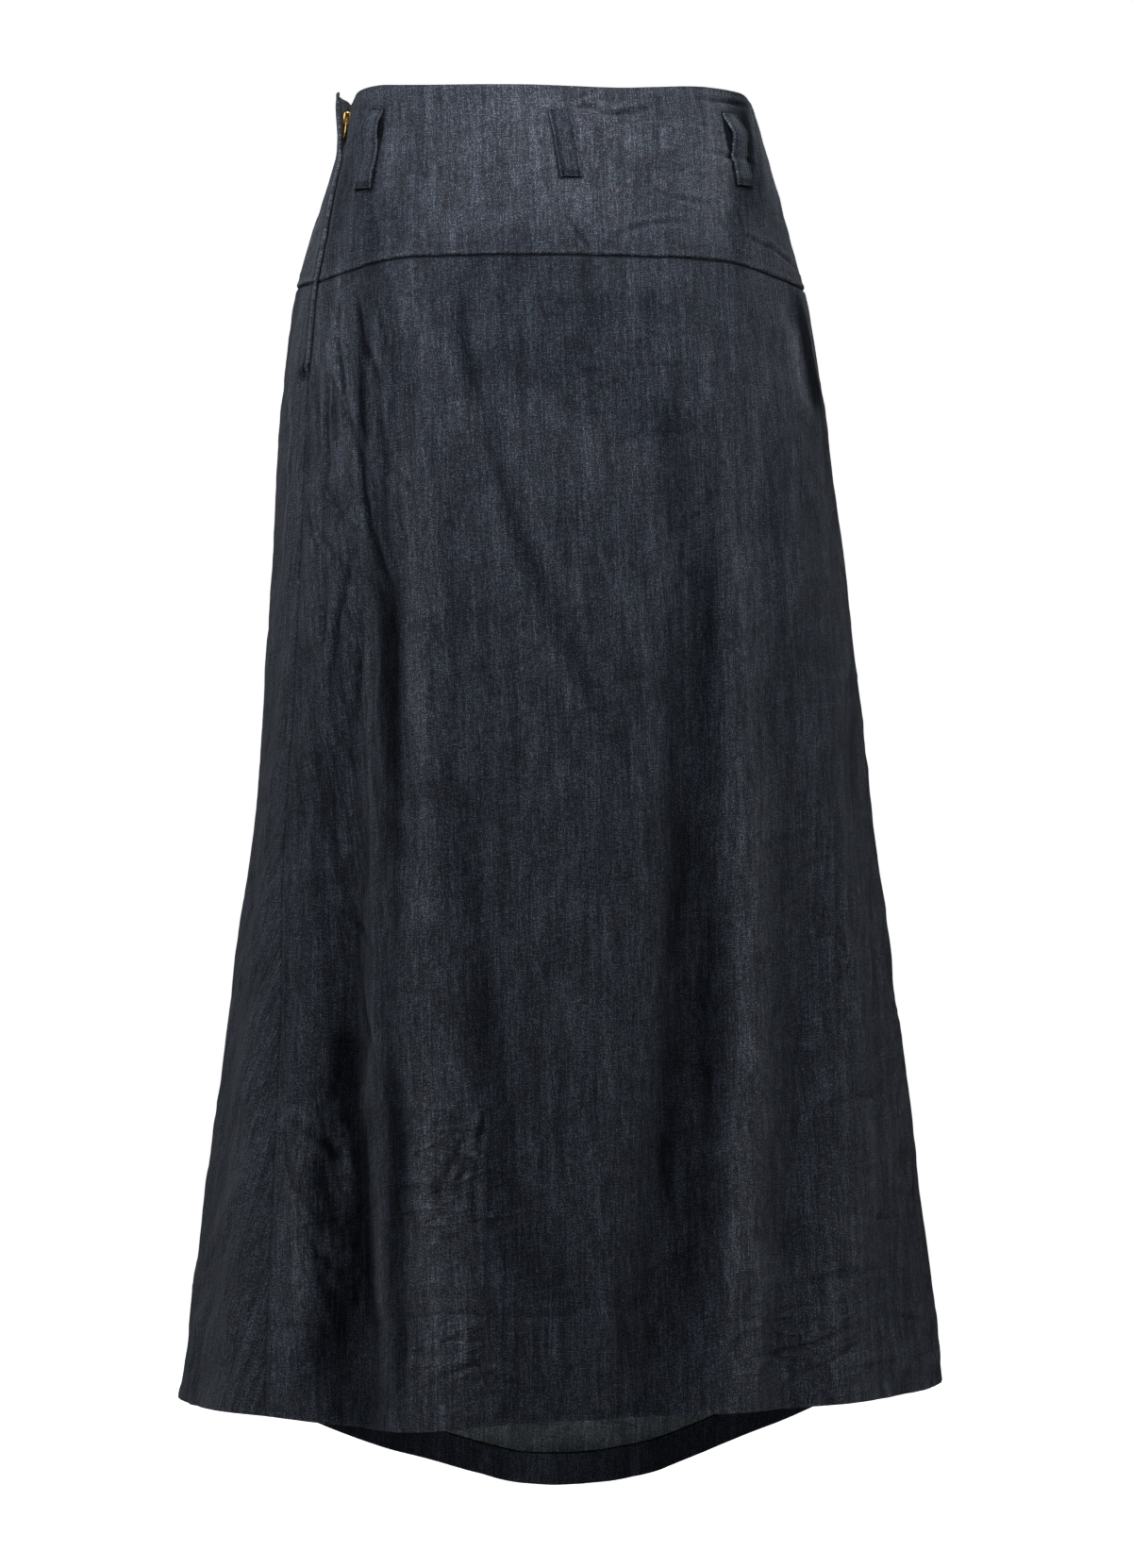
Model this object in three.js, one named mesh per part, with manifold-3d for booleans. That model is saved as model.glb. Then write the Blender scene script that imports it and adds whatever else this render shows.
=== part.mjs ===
// A long A-line denim skirt, worn with no wearer in it: hollow, open at the waist and at the hem.
// It has a deep yoke all round, five belt loops, a lapped brass zip in the left side seam, and a
// turned-up hem that hangs lower at the front than at the back.
//
// Millimetres, +Z up. The origin is the middle of the waist opening, where the wearer holds it.
// The back faces -Y and the wearer's left, with the zip, is at -X. A place on the cloth is given by
// its angle round the body, 0 at the centre back and growing towards +X, and by its drop below the waist.
import * as THREE from "three";
import Module from "manifold-3d";

const wasm = await Module();
wasm.setup();

const RAD = Math.PI / 180;

// Cloth
const PANEL_WALL = 1.2;
const YOKE_WALL = 1.6;
const TURN_UP_WALL = 1.0;
const SEAM_GAP = 0.3;
const HEM_DROP = 829;
const HEM_TILT = 4.5;
const TURN_UP = 22;
const TURN_UP_INSET = 0.004;
const ABOVE_TURN_UP = 2;

// Half width, sideways shift of the middle, and depth to the back and to the front, down the skirt
const OUTLINE = [
  { drop: 0, half: 131, shift: 0, back: 97, front: 97 },
  { drop: 30, half: 138, shift: 1.8, back: 102, front: 101 },
  { drop: 90, half: 155.5, shift: 1, back: 114, front: 108 },
  { drop: 130, half: 166, shift: 1, back: 124, front: 112 },
  { drop: 180, half: 173.5, shift: 2, back: 133, front: 115 },
  { drop: 310, half: 186, shift: 6, back: 147, front: 126 },
  { drop: 460, half: 200, shift: 9.5, back: 159, front: 140 },
  { drop: 600, half: 218, shift: 9, back: 170, front: 154 },
  { drop: 750, half: 237, shift: 9, back: 181, front: 170 },
  { drop: 915, half: 257, shift: 8, back: 192, front: 188 },
];

// Angle of each side seam. The left one swings to the back on its way down.
const SIDE_SEAMS = [
  { drop: 0, left: -80, right: 86 },
  { drop: 50, left: -77.5, right: 88 },
  { drop: 100, left: -71, right: 89 },
  { drop: 180, left: -67.7, right: 90 },
  { drop: 350, left: -66, right: 92 },
  { drop: 480, left: -64.4, right: 94 },
  { drop: 600, left: -58.3, right: 95 },
  { drop: 915, left: -50, right: 97 },
];

// Soft folds. Angle at the hip, half way down and at the hem; half of the fold's width and how
// softly its sides turn, in degrees; the drops where it starts and is full; depth, out or in, in mm.
const FOLDS = [
  { hip: -74, mid: -69, hem: -60, half: 5, turn: 6, start: 260, full: 800, depth: 9 },
  { hip: -44, mid: -47, hem: -36.5, half: 3.5, turn: 4, start: 190, full: 620, depth: -21 },
  { hip: -31.5, mid: -30, hem: -21.5, half: 3, turn: 4.5, start: 170, full: 600, depth: 9 },
  { hip: -18, mid: -20, hem: -10, half: 2.5, turn: 4, start: 300, full: 700, depth: -6 },
  { hip: 26, mid: 19.5, hem: 10, half: 5, turn: 4, start: 210, full: 560, depth: -15 },
  { hip: 33, mid: 29, hem: 23, half: 2.5, turn: 4, start: 200, full: 600, depth: 9 },
  { hip: 42, mid: 43, hem: 29.5, half: 2.5, turn: 4, start: 260, full: 700, depth: -6 },
  { hip: 62, mid: 55, hem: 41, half: 5, turn: 5, start: 230, full: 700, depth: 8 },
  { hip: 108, mid: 112, hem: 112, half: 4, turn: 5, start: 250, full: 700, depth: 9 },
  { hip: 124, mid: 128, hem: 131, half: 4, turn: 5, start: 280, full: 720, depth: -14 },
  { hip: 146, mid: 147, hem: 148, half: 4, turn: 4, start: 300, full: 760, depth: 12 },
  { hip: 175, mid: 174, hem: 173, half: 14, turn: 3.5, start: 320, full: 800, depth: -20 },
  { hip: 204, mid: 200, hem: 197, half: 4, turn: 4, start: 300, full: 760, depth: 11 },
  { hip: 222, mid: 221, hem: 220, half: 4, turn: 5, start: 260, full: 720, depth: -15 },
  { hip: 246, mid: 245, hem: 243, half: 4, turn: 5, start: 260, full: 700, depth: 9 },
];
const HIP_DROP = 180;
const MID_DROP = 480;

// The yoke's lower edge is level across the back and the front, and dips at the sides
const YOKE_DROP = 109;
const YOKE_DIP = 12;
const YOKE_DIP_FROM = 36;
const YOKE_DIP_TO = 72;

// The front hangs lower, most a little to the right of its middle
const FRONT_DIP = 84;
const FRONT_DIP_ANGLE = 176.5;
const BACK_SAG = 7;
const BACK_SAG_ANGLE = -28;
const BACK_SAG_WIDTH = 16;

// The zip, under a lap of the front that lies over the back. The lap gapes at the top.
const LAP_WIDTH = 14;
const LAP_FLAT = 4;
const LAP_OVER = 1.5;
const LAP_LIFT = 2.1;
const LAP_GAPE = 9;
const LAP_GAPE_LIFT = 8;
const LAP_OPEN_TO = 27;
const LAP_CLOSED_FROM = 44;
const LAP_END = 169;
const LAP_CLOSE = 175.5;
const LAP_BOTTOM = 182;
const LAP_TIP_RISE = 5;
const CORNER_FALL = 3.5;
const CORNER_WIDTH = 9;
const CHAIN_MIDDLE = -3.9;
const CHAIN_WIDTH = 5.4;
const CHAIN_OUT = -0.6;
const CHAIN_IN = -3.0;
const CHAIN_TOP = 18;
const CHAIN_BOTTOM = 176;
const TAPE_WIDTH = 10;
const TAPE_OUT = -1.9;
const TAPE_IN = -2.5;
const TAPE_GAP = 0.4;
const TAPE_TOP = 4;
const TAPE_BOTTOM = 183;
const SLIDER_DROP = 12.5;
const SLIDER_LENGTH = 9.6;
const SLIDER_WIDTH = 7.0;
const SLIDER_NECK = 4.6;
const SLIDER_PLATE = 1.0;
const SLIDER_REAR = 0.9;
const SLIDER_CORNER = 1.5;
const SLIDER_TAPER = 1.0;
const BRIDGE_WIDTH = 1.3;
const BRIDGE_SPAN = 8.0;
const BRIDGE_CLEAR = 2.0;
const BRIDGE_WALL = 0.9;
const BRIDGE_CORNER = 0.8;
const BRIDGE_SINK = 0.2;
const PULL_LENGTH = 15;
const PULL_WIDTH = 4.4;
const PULL_THICK = 0.9;
const PULL_BAR = 0.55;
const PULL_SLOT_WIDTH = 2.1;
const PULL_SLOT_END = 5.8;
const PULL_ROUND = 1.4;

// Belt loops: angle of the top and of the bottom end, their drops, and how far the strap stands off
const LOOP_WIDTH = 13.4;
const LOOP_WALL = 1.5;
const LOOP_RISE_FROM = 1;
const LOOP_RISE_TO = 9;
const BELT_LOOPS = [
  { name: "belt_loop_back", topAngle: -2.2, bottomAngle: 1.2, top: 17, bottom: 59, bow: 2.6 },
  { name: "belt_loop_back_left", topAngle: -58.5, bottomAngle: -57.5, top: 12, bottom: 64, bow: 3.4 },
  { name: "belt_loop_back_right", topAngle: 54.5, bottomAngle: 53.5, top: 14, bottom: 60, bow: 3.4 },
  { name: "belt_loop_front_right", topAngle: 138, bottomAngle: 137.5, top: 15, bottom: 62, bow: 2.8 },
  { name: "belt_loop_front_left", topAngle: 222, bottomAngle: 222.5, top: 15, bottom: 62, bow: 2.8 },
];

const DENIM = { color: 0x2f3743, roughness: 0.85, metalness: 0 };
const WRONG_SIDE = { color: 0x262d38, roughness: 0.9, metalness: 0 };
const ZIP_TAPE = { color: 0x1d222b, roughness: 0.8, metalness: 0 };
const BRASS = { color: 0xb08d4a, roughness: 0.35, metalness: 1 };

function smooth(x, from, to) {
  const s = Math.min(Math.max((x - from) / (to - from), 0), 1);
  return s * s * (3 - 2 * s);
}

// A smooth curve through the rows of a table, read at one drop
function readTable(rows, drop, column) {
  const last = rows.length - 1;
  const at = Math.min(Math.max(drop, rows[0].drop), rows[last].drop);
  let k = 0;
  while (k < last - 1 && rows[k + 1].drop <= at) k += 1;
  const rise = (i, j) => (rows[j][column] - rows[i][column]) / (rows[j].drop - rows[i].drop);
  const slope = (i) => rise(Math.max(i - 1, 0), Math.min(i + 1, last));
  const step = rows[k + 1].drop - rows[k].drop;
  const s = (at - rows[k].drop) / step;
  const blend = s * s * (3 - 2 * s);
  const lead = s * (1 - s) * (1 - s) * step * slope(k);
  const trail = s * s * (s - 1) * step * slope(k + 1);
  return rows[k][column] * (1 - blend) + rows[k + 1][column] * blend + lead + trail;
}

function wrap(degrees) {
  return ((((degrees + 180) % 360) + 360) % 360) - 180;
}

// How far the folds push the cloth out or in
function foldDepth(angle, drop) {
  let sum = 0;
  for (const f of FOLDS) {
    const down = drop < MID_DROP
      ? f.hip + (f.mid - f.hip) * smooth(drop, HIP_DROP, MID_DROP)
      : f.mid + (f.hem - f.mid) * smooth(drop, MID_DROP, HEM_DROP);
    const off = wrap(angle - down);
    const rise = Math.tanh((off + f.half) / f.turn);
    const fall = Math.tanh((off - f.half) / f.turn);
    const shape = (rise - fall) / (2 * Math.tanh(f.half / f.turn));
    sum += f.depth * shape * smooth(drop, f.start, f.full);
  }
  return sum;
}

// The body's own section, before folds
function bodyPoint(angle, drop) {
  const side = Math.sin(angle * RAD);
  const back = Math.cos(angle * RAD);
  const depth = readTable(OUTLINE, drop, back > 0 ? "back" : "front");
  const half = readTable(OUTLINE, drop, "half");
  const shift = readTable(OUTLINE, drop, "shift");
  return new THREE.Vector3(shift + half * side, -depth * back, -drop);
}

function normalOf(place, angle, drop) {
  const round = place(angle + 0.2, drop).sub(place(angle - 0.2, drop));
  const down = place(angle, drop + 0.5).sub(place(angle, drop - 0.5));
  return down.cross(round).normalize();
}

function foldedPoint(angle, drop) {
  const out = normalOf(bodyPoint, angle, drop);
  return bodyPoint(angle, drop).addScaledVector(out, foldDepth(angle, drop));
}

// A point on the cloth, moved out by a distance
function clothPoint(angle, drop, out) {
  return foldedPoint(angle, drop).addScaledVector(normalOf(foldedPoint, angle, drop), out);
}

// Degrees that one millimetre along the cloth takes at a place
function degreesPerMm(angle, drop) {
  return 1 / foldedPoint(angle + 0.5, drop).distanceTo(foldedPoint(angle - 0.5, drop));
}

function seamAngle(drop, side) {
  return readTable(SIDE_SEAMS, drop, side);
}

// The left seam's angle, moved along the cloth by a distance towards the back
function besideZip(drop, mm) {
  const seam = seamAngle(drop, "left");
  return seam + mm * degreesPerMm(seam, drop);
}

function yokeEdge(angle) {
  const fromBack = Math.abs(wrap(angle));
  const fromMiddle = Math.min(fromBack, 180 - fromBack);
  return YOKE_DROP + YOKE_DIP * smooth(fromMiddle, YOKE_DIP_FROM, YOKE_DIP_TO);
}

function hemEdge(angle) {
  const sag = BACK_SAG * Math.exp(-(((wrap(angle) - BACK_SAG_ANGLE) / BACK_SAG_WIDTH) ** 2));
  const front = Math.max(Math.cos((angle - FRONT_DIP_ANGLE) * RAD), 0) ** 3;
  return HEM_DROP - HEM_TILT * Math.sin(angle * RAD) + sag + FRONT_DIP * front;
}

// Where the lap's free edge is, in mm past the seam towards the back, and how far it stands out
function lapEdge(drop) {
  const gaping = LAP_GAPE * (1 - smooth(drop, LAP_OPEN_TO, LAP_CLOSED_FROM));
  const closed = LAP_OVER - (LAP_OVER + SEAM_GAP / 2) * smooth(drop, LAP_END, LAP_CLOSE);
  return gaping > 0 ? closed - gaping - LAP_OVER * smooth(gaping, 0, LAP_GAPE) : closed;
}

function lapLift(drop) {
  const gape = (LAP_GAPE_LIFT - LAP_LIFT) * (1 - smooth(drop, 0, LAP_CLOSED_FROM)) ** 1.5;
  return (LAP_LIFT + gape) * (1 - smooth(drop, LAP_CLOSE, LAP_BOTTOM));
}

// A closed sheet solid. corner(u, v) gives the angle, drop, and outer and inner offsets of a place
// u across and v down. Rows and columns are lists of fractions.
function sheet(name, look, columns, rows, corner) {
  const points = [];
  for (const layer of ["outer", "inner"]) {
    for (const v of rows) {
      for (const u of columns) {
        const at = corner(u, v);
        const p = clothPoint(at.angle, at.drop, at[layer]);
        points.push(p.x, p.y, p.z);
      }
    }
  }
  const wide = columns.length;
  const deep = rows.length;
  const index = (layer, i, j) => layer * wide * deep + j * wide + i;
  const faces = [];
  const quad = (a, b, c, d) => faces.push(a, b, c, a, c, d);
  for (let j = 0; j < deep - 1; j += 1) {
    for (let i = 0; i < wide - 1; i += 1) {
      quad(index(0, i, j), index(0, i, j + 1), index(0, i + 1, j + 1), index(0, i + 1, j));
      quad(index(1, i, j), index(1, i + 1, j), index(1, i + 1, j + 1), index(1, i, j + 1));
    }
  }
  for (let i = 0; i < wide - 1; i += 1) {
    quad(index(0, i, 0), index(0, i + 1, 0), index(1, i + 1, 0), index(1, i, 0));
    const j = deep - 1;
    quad(index(0, i, j), index(1, i, j), index(1, i + 1, j), index(0, i + 1, j));
  }
  for (let j = 0; j < deep - 1; j += 1) {
    quad(index(0, 0, j), index(1, 0, j), index(1, 0, j + 1), index(0, 0, j + 1));
    const i = wide - 1;
    quad(index(0, i, j), index(0, i, j + 1), index(1, i, j + 1), index(1, i, j));
  }
  const shape = new THREE.BufferGeometry();
  shape.setAttribute("position", new THREE.Float32BufferAttribute(points, 3));
  shape.setIndex(faces);
  shape.computeVertexNormals();
  return named(name, shape, look);
}

function named(name, geometry, look) {
  const mesh = new THREE.Mesh(geometry, new THREE.MeshStandardMaterial(look));
  mesh.name = name;
  return mesh;
}

function steps(count) {
  return Array.from({ length: count + 1 }, (_, i) => i / count);
}

const mix = (a, b, s) => a + (b - a) * s;

// Back of the skirt: between the seams, growing in angle from the zip to the right side
function backAngle(u, drop) {
  const left = besideZip(drop, SEAM_GAP / 2);
  const right = seamAngle(drop, "right");
  return mix(left, right - (SEAM_GAP / 2) * degreesPerMm(right, drop), u);
}

// Front of the skirt: from the right side round to the lap over the zip
function frontAngle(u, drop) {
  const right = seamAngle(drop, "right");
  const left = 360 + besideZip(drop, lapEdge(drop));
  return mix(right + (SEAM_GAP / 2) * degreesPerMm(right, drop), left, u);
}

// How far the front stands out beside the zip
function lapOut(angle, drop) {
  const toEdge = (360 + besideZip(drop, lapEdge(drop)) - angle) / degreesPerMm(angle, drop);
  return lapLift(drop) * (1 - smooth(toEdge, LAP_FLAT, LAP_WIDTH));
}

// A place on a piece of the back or the front: its drop is found on the seam-to-seam line
function placeOn(angleAt, dropAt, u) {
  let drop = dropAt(angleAt(u, YOKE_DROP));
  for (let i = 0; i < 4; i += 1) drop = dropAt(angleAt(u, drop));
  return { angle: angleAt(u, drop), drop };
}

const YOKE_ROWS = [0, 0.1, 0.24, 0.38, 0.6, 0.8, 1];
const LAP_COLUMNS = [0.9, 0.93, 0.955, 0.975, 0.9875, 1];

// The back's top corner by the zip sags a little, and the lap's top corner stands up
function backYokeTop(angle) {
  const fromZip = (angle - besideZip(0, 0)) / degreesPerMm(angle, 0);
  return CORNER_FALL * (1 - smooth(fromZip, 0, CORNER_WIDTH));
}

function frontYokeTop(angle) {
  const fromEdge = (360 + besideZip(0, lapEdge(0)) - angle) / degreesPerMm(angle, 0);
  return -LAP_TIP_RISE * (1 - smooth(fromEdge, 0, LAP_WIDTH));
}

function yokeDrop(angle, top, v) {
  return mix(top(angle), yokeEdge(angle) - SEAM_GAP / 2, v);
}

function backYoke() {
  return sheet("back_yoke", DENIM, steps(30), YOKE_ROWS, (u, v) => {
    const at = placeOn(backAngle, (a) => yokeDrop(a, backYokeTop, v), u);
    return { ...at, outer: 0, inner: -YOKE_WALL };
  });
}

function frontYoke() {
  const columns = [...steps(24).map((u) => u * LAP_COLUMNS[0]).slice(0, -1), ...LAP_COLUMNS];
  return sheet("front_yoke", DENIM, columns, YOKE_ROWS, (u, v) => {
    const at = placeOn(frontAngle, (a) => yokeDrop(a, frontYokeTop, v), u);
    const out = lapOut(at.angle, at.drop);
    return { ...at, outer: out, inner: out - YOKE_WALL };
  });
}

// The last row of a panel's grid but one is just above its turn-up
function panelDrop(angle, v) {
  const fold = hemEdge(angle) - TURN_UP - ABOVE_TURN_UP;
  return v > HEM_ROW
    ? mix(fold, hemEdge(angle), (v - HEM_ROW) / (1 - HEM_ROW))
    : mix(yokeEdge(angle) + SEAM_GAP / 2, fold, v / HEM_ROW);
}

const HEM_ROW = 0.97;
const PANEL_ROWS = [0, 0.035, 0.067, 0.077, 0.086, 0.12, 0.18, 0.25, 0.32, 0.4, 0.48, 0.56,
  0.64, 0.72, 0.8, 0.89, HEM_ROW, 1];
const BACK_COLUMNS = steps(54);
const FRONT_COLUMNS = [...steps(44).map((u) => u * LAP_COLUMNS[0]).slice(0, -1), ...LAP_COLUMNS];

function backPanel() {
  return sheet("back_panel", DENIM, BACK_COLUMNS, PANEL_ROWS, (u, v) => {
    const at = placeOn(backAngle, (a) => panelDrop(a, v), u);
    return { ...at, outer: 0, inner: -PANEL_WALL };
  });
}

function frontPanel() {
  return sheet("front_panel", DENIM, FRONT_COLUMNS, PANEL_ROWS, (u, v) => {
    const at = placeOn(frontAngle, (a) => panelDrop(a, v), u);
    const out = lapOut(at.angle, at.drop);
    return { ...at, outer: out, inner: out - PANEL_WALL };
  });
}

// The turned-up hem inside a panel, a little inside the panel's own side seams
function turnUp(name, angleAt, panelColumns) {
  const columns = [TURN_UP_INSET, ...panelColumns.slice(1, -1), 1 - TURN_UP_INSET];
  return sheet(name, WRONG_SIDE, columns, [0, 1], (u, v) => {
    const at = placeOn(angleAt, (a) => hemEdge(a) - mix(TURN_UP, SEAM_GAP, v), u);
    const outer = -PANEL_WALL - SEAM_GAP;
    return { ...at, outer, inner: outer - TURN_UP_WALL };
  });
}

// A belt loop lies on the yoke at both ends and bows out between them
function beltLoop(loop) {
  const rows = [0, 0.06, 0.12, 0.2, 0.35, 0.5, 0.65, 0.8, 0.88, 0.94, 1];
  const length = loop.bottom - loop.top;
  return sheet(loop.name, DENIM, steps(3), rows, (u, v) => {
    const drop = mix(loop.top, loop.bottom, v);
    const middle = mix(loop.topAngle, loop.bottomAngle, v);
    const angle = middle + (u - 0.5) * LOOP_WIDTH * degreesPerMm(middle, drop);
    const fromEnd = Math.min(v, 1 - v) * length;
    const under = SEAM_GAP + loop.bow * smooth(fromEnd, LOOP_RISE_FROM, LOOP_RISE_TO);
    return { angle, drop, outer: under + LOOP_WALL, inner: under };
  });
}

// A strip of the zip: from and to are mm past the left seam, towards the back
function zipStrip(name, look, from, to, top, bottom, outer, inner) {
  return sheet(name, look, [0, 1], steps(12), (u, v) => {
    const drop = mix(top, bottom, v);
    return { angle: besideZip(drop, mix(from, to, u)), drop, outer, inner };
  });
}

// The frame that the slider and its pull tab are placed in: x across the zip towards the back,
// y up along it and z out of the cloth, at the slider's middle on the chain
function sliderFrame() {
  const angle = besideZip(SLIDER_DROP, CHAIN_MIDDLE);
  const above = besideZip(SLIDER_DROP - 1, CHAIN_MIDDLE);
  const below = besideZip(SLIDER_DROP + 1, CHAIN_MIDDLE);
  const up = foldedPoint(above, SLIDER_DROP - 1).sub(foldedPoint(below, SLIDER_DROP + 1));
  up.normalize();
  const across = foldedPoint(angle + 1, SLIDER_DROP).sub(foldedPoint(angle - 1, SLIDER_DROP));
  const out = across.cross(up).normalize();
  const square = new THREE.Vector3().crossVectors(up, out);
  const frame = new THREE.Matrix4().makeBasis(square, up, out);
  return frame.setPosition(clothPoint(angle, SLIDER_DROP, 0));
}

function solidOf(geometry) {
  const plain = geometry.index ? geometry.toNonIndexed() : geometry;
  const places = plain.getAttribute("position").array;
  const seen = new Map();
  const vertices = [];
  const triangles = [];
  for (let i = 0; i < places.length; i += 3) {
    const key = [0, 1, 2].map((k) => Math.round(places[i + k] * 1e4)).join();
    if (!seen.has(key)) {
      seen.set(key, vertices.length / 3);
      vertices.push(places[i], places[i + 1], places[i + 2]);
    }
    triangles.push(seen.get(key));
  }
  return new wasm.Manifold(new wasm.Mesh({
    numProp: 3,
    vertProperties: Float32Array.from(vertices),
    triVerts: Uint32Array.from(triangles),
  }));
}

function geometryOf(solid) {
  const mesh = solid.getMesh();
  const shape = new THREE.BufferGeometry();
  shape.setAttribute("position", new THREE.BufferAttribute(mesh.vertProperties, 3));
  shape.setIndex(new THREE.BufferAttribute(mesh.triVerts, 1));
  return shape;
}

// A plate of the slider, wide at the top where the two rows of teeth part
function sliderPlate(width, low, high) {
  const side = width / 2;
  const end = SLIDER_LENGTH / 2;
  const outline = new THREE.Shape();
  outline.moveTo(-side, end - SLIDER_CORNER);
  outline.lineTo(-side + SLIDER_CORNER, end);
  outline.lineTo(side - SLIDER_CORNER, end);
  outline.lineTo(side, end - SLIDER_CORNER);
  outline.lineTo(side - SLIDER_TAPER, -end);
  outline.lineTo(-side + SLIDER_TAPER, -end);
  outline.closePath();
  const plate = new THREE.ExtrudeGeometry(outline, { depth: high - low, bevelEnabled: false });
  return plate.translate(0, 0, low);
}

// The bridge over the slider, an arch that the pull tab's top bar lies under
function bridge() {
  const foot = BRIDGE_SPAN / 2;
  const roof = BRIDGE_CLEAR + BRIDGE_WALL;
  const outline = new THREE.Shape();
  outline.moveTo(-foot, -BRIDGE_SINK);
  outline.lineTo(-foot, roof - BRIDGE_CORNER);
  outline.lineTo(-foot + BRIDGE_CORNER, roof);
  outline.lineTo(foot - BRIDGE_CORNER, roof);
  outline.lineTo(foot, roof - BRIDGE_CORNER);
  outline.lineTo(foot, -BRIDGE_SINK);
  outline.lineTo(foot - BRIDGE_WALL, -BRIDGE_SINK);
  outline.lineTo(foot - BRIDGE_WALL, BRIDGE_CLEAR);
  outline.lineTo(-foot + BRIDGE_WALL, BRIDGE_CLEAR);
  outline.lineTo(-foot + BRIDGE_WALL, -BRIDGE_SINK);
  outline.closePath();
  const arch = new THREE.ExtrudeGeometry(outline, { depth: BRIDGE_WIDTH, bevelEnabled: false });
  return arch.translate(0, 0, -BRIDGE_WIDTH / 2).rotateX(Math.PI / 2).rotateZ(Math.PI / 2);
}

function slider() {
  const front = solidOf(sliderPlate(SLIDER_WIDTH, -SLIDER_PLATE, 0));
  const neck = solidOf(sliderPlate(SLIDER_NECK, CHAIN_IN - SLIDER_REAR / 2, -SLIDER_PLATE / 2));
  const rear = solidOf(sliderPlate(SLIDER_WIDTH, CHAIN_IN - SLIDER_REAR, CHAIN_IN));
  const arch = solidOf(bridge());
  const mesh = named("zip_slider", geometryOf(front.add(neck).add(rear).add(arch)), BRASS);
  mesh.applyMatrix4(sliderFrame());
  return mesh;
}

// The pull tab hangs from the bridge. Its hinge is the middle of its top bar.
function pullTab() {
  const half = PULL_WIDTH / 2;
  const tip = PULL_LENGTH - PULL_BAR;
  const outline = new THREE.Shape();
  outline.moveTo(-half, PULL_BAR);
  outline.lineTo(-half, -tip + PULL_ROUND);
  outline.lineTo(-half + PULL_ROUND, -tip);
  outline.lineTo(half - PULL_ROUND, -tip);
  outline.lineTo(half, -tip + PULL_ROUND);
  outline.lineTo(half, PULL_BAR);
  outline.closePath();
  const slot = new THREE.Path();
  slot.moveTo(-PULL_SLOT_WIDTH / 2, -PULL_BAR);
  slot.lineTo(PULL_SLOT_WIDTH / 2, -PULL_BAR);
  slot.lineTo(PULL_SLOT_WIDTH / 2, -PULL_SLOT_END);
  slot.lineTo(-PULL_SLOT_WIDTH / 2, -PULL_SLOT_END);
  slot.closePath();
  outline.holes.push(slot);
  const plate = new THREE.ExtrudeGeometry(outline, { depth: PULL_THICK, bevelEnabled: false });
  plate.translate(0, 0, -PULL_THICK / 2 + BRIDGE_CLEAR / 2);
  const mesh = named("zip_pull", plate, BRASS);
  mesh.applyMatrix4(sliderFrame());
  return mesh;
}

const skirt = new THREE.Group();
skirt.add(backYoke(), frontYoke(), backPanel(), frontPanel());
skirt.add(turnUp("back_turn_up", backAngle, BACK_COLUMNS));
skirt.add(turnUp("front_turn_up", frontAngle, FRONT_COLUMNS));
for (const loop of BELT_LOOPS) skirt.add(beltLoop(loop));

const chainFrom = CHAIN_MIDDLE - CHAIN_WIDTH / 2;
const chainTo = CHAIN_MIDDLE + CHAIN_WIDTH / 2;
const tapeFront = chainFrom - TAPE_GAP;
const tapeBack = chainTo + TAPE_GAP;
skirt.add(
  zipStrip("zip_teeth", BRASS, chainFrom, chainTo, CHAIN_TOP, CHAIN_BOTTOM, CHAIN_OUT, CHAIN_IN),
  zipStrip("zip_tape_front", ZIP_TAPE, tapeFront - TAPE_WIDTH, tapeFront, TAPE_TOP, TAPE_BOTTOM,
    TAPE_OUT, TAPE_IN),
  zipStrip("zip_tape_back", ZIP_TAPE, tapeBack, tapeBack + TAPE_WIDTH, TAPE_TOP, TAPE_BOTTOM,
    TAPE_OUT, TAPE_IN),
  slider(),
  pullTab(),
);

export default skirt;
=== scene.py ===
"""A long denim skirt, worn and hollow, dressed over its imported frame.

Sizes in the tables are in millimetres, and meshes are made in metres. A place on the cloth is given
by its angle round the body, 0 at the centre back and growing towards +X, and by its drop below the
waist. A place across a piece is in millimetres along the cloth from the piece's middle.
"""

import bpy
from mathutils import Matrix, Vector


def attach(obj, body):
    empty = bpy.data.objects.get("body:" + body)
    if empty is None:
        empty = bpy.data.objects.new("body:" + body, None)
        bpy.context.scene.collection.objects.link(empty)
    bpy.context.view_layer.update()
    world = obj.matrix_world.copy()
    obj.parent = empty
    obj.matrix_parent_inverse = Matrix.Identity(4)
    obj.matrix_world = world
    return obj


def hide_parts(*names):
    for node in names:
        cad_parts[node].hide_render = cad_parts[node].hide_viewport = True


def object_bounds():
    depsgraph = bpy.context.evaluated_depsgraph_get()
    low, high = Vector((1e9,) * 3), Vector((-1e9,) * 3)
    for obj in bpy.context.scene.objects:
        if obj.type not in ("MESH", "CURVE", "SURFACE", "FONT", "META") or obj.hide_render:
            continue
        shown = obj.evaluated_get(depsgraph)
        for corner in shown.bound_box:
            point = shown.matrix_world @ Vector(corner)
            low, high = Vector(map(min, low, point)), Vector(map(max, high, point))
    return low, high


bl_info = {
    "name": "Long denim skirt",
    "version": (1, 0, 0),
    "blender": (4, 5, 0),
    "location": "3D View > Sidebar > Skirt",
    "description": "Builds a denim skirt's cloth, seams, loops and zip around its solids",
    "category": "Object",
}

import math

import bpy
import numpy as np
from bpy.props import FloatProperty, FloatVectorProperty, PointerProperty
from mathutils import Vector

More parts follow.
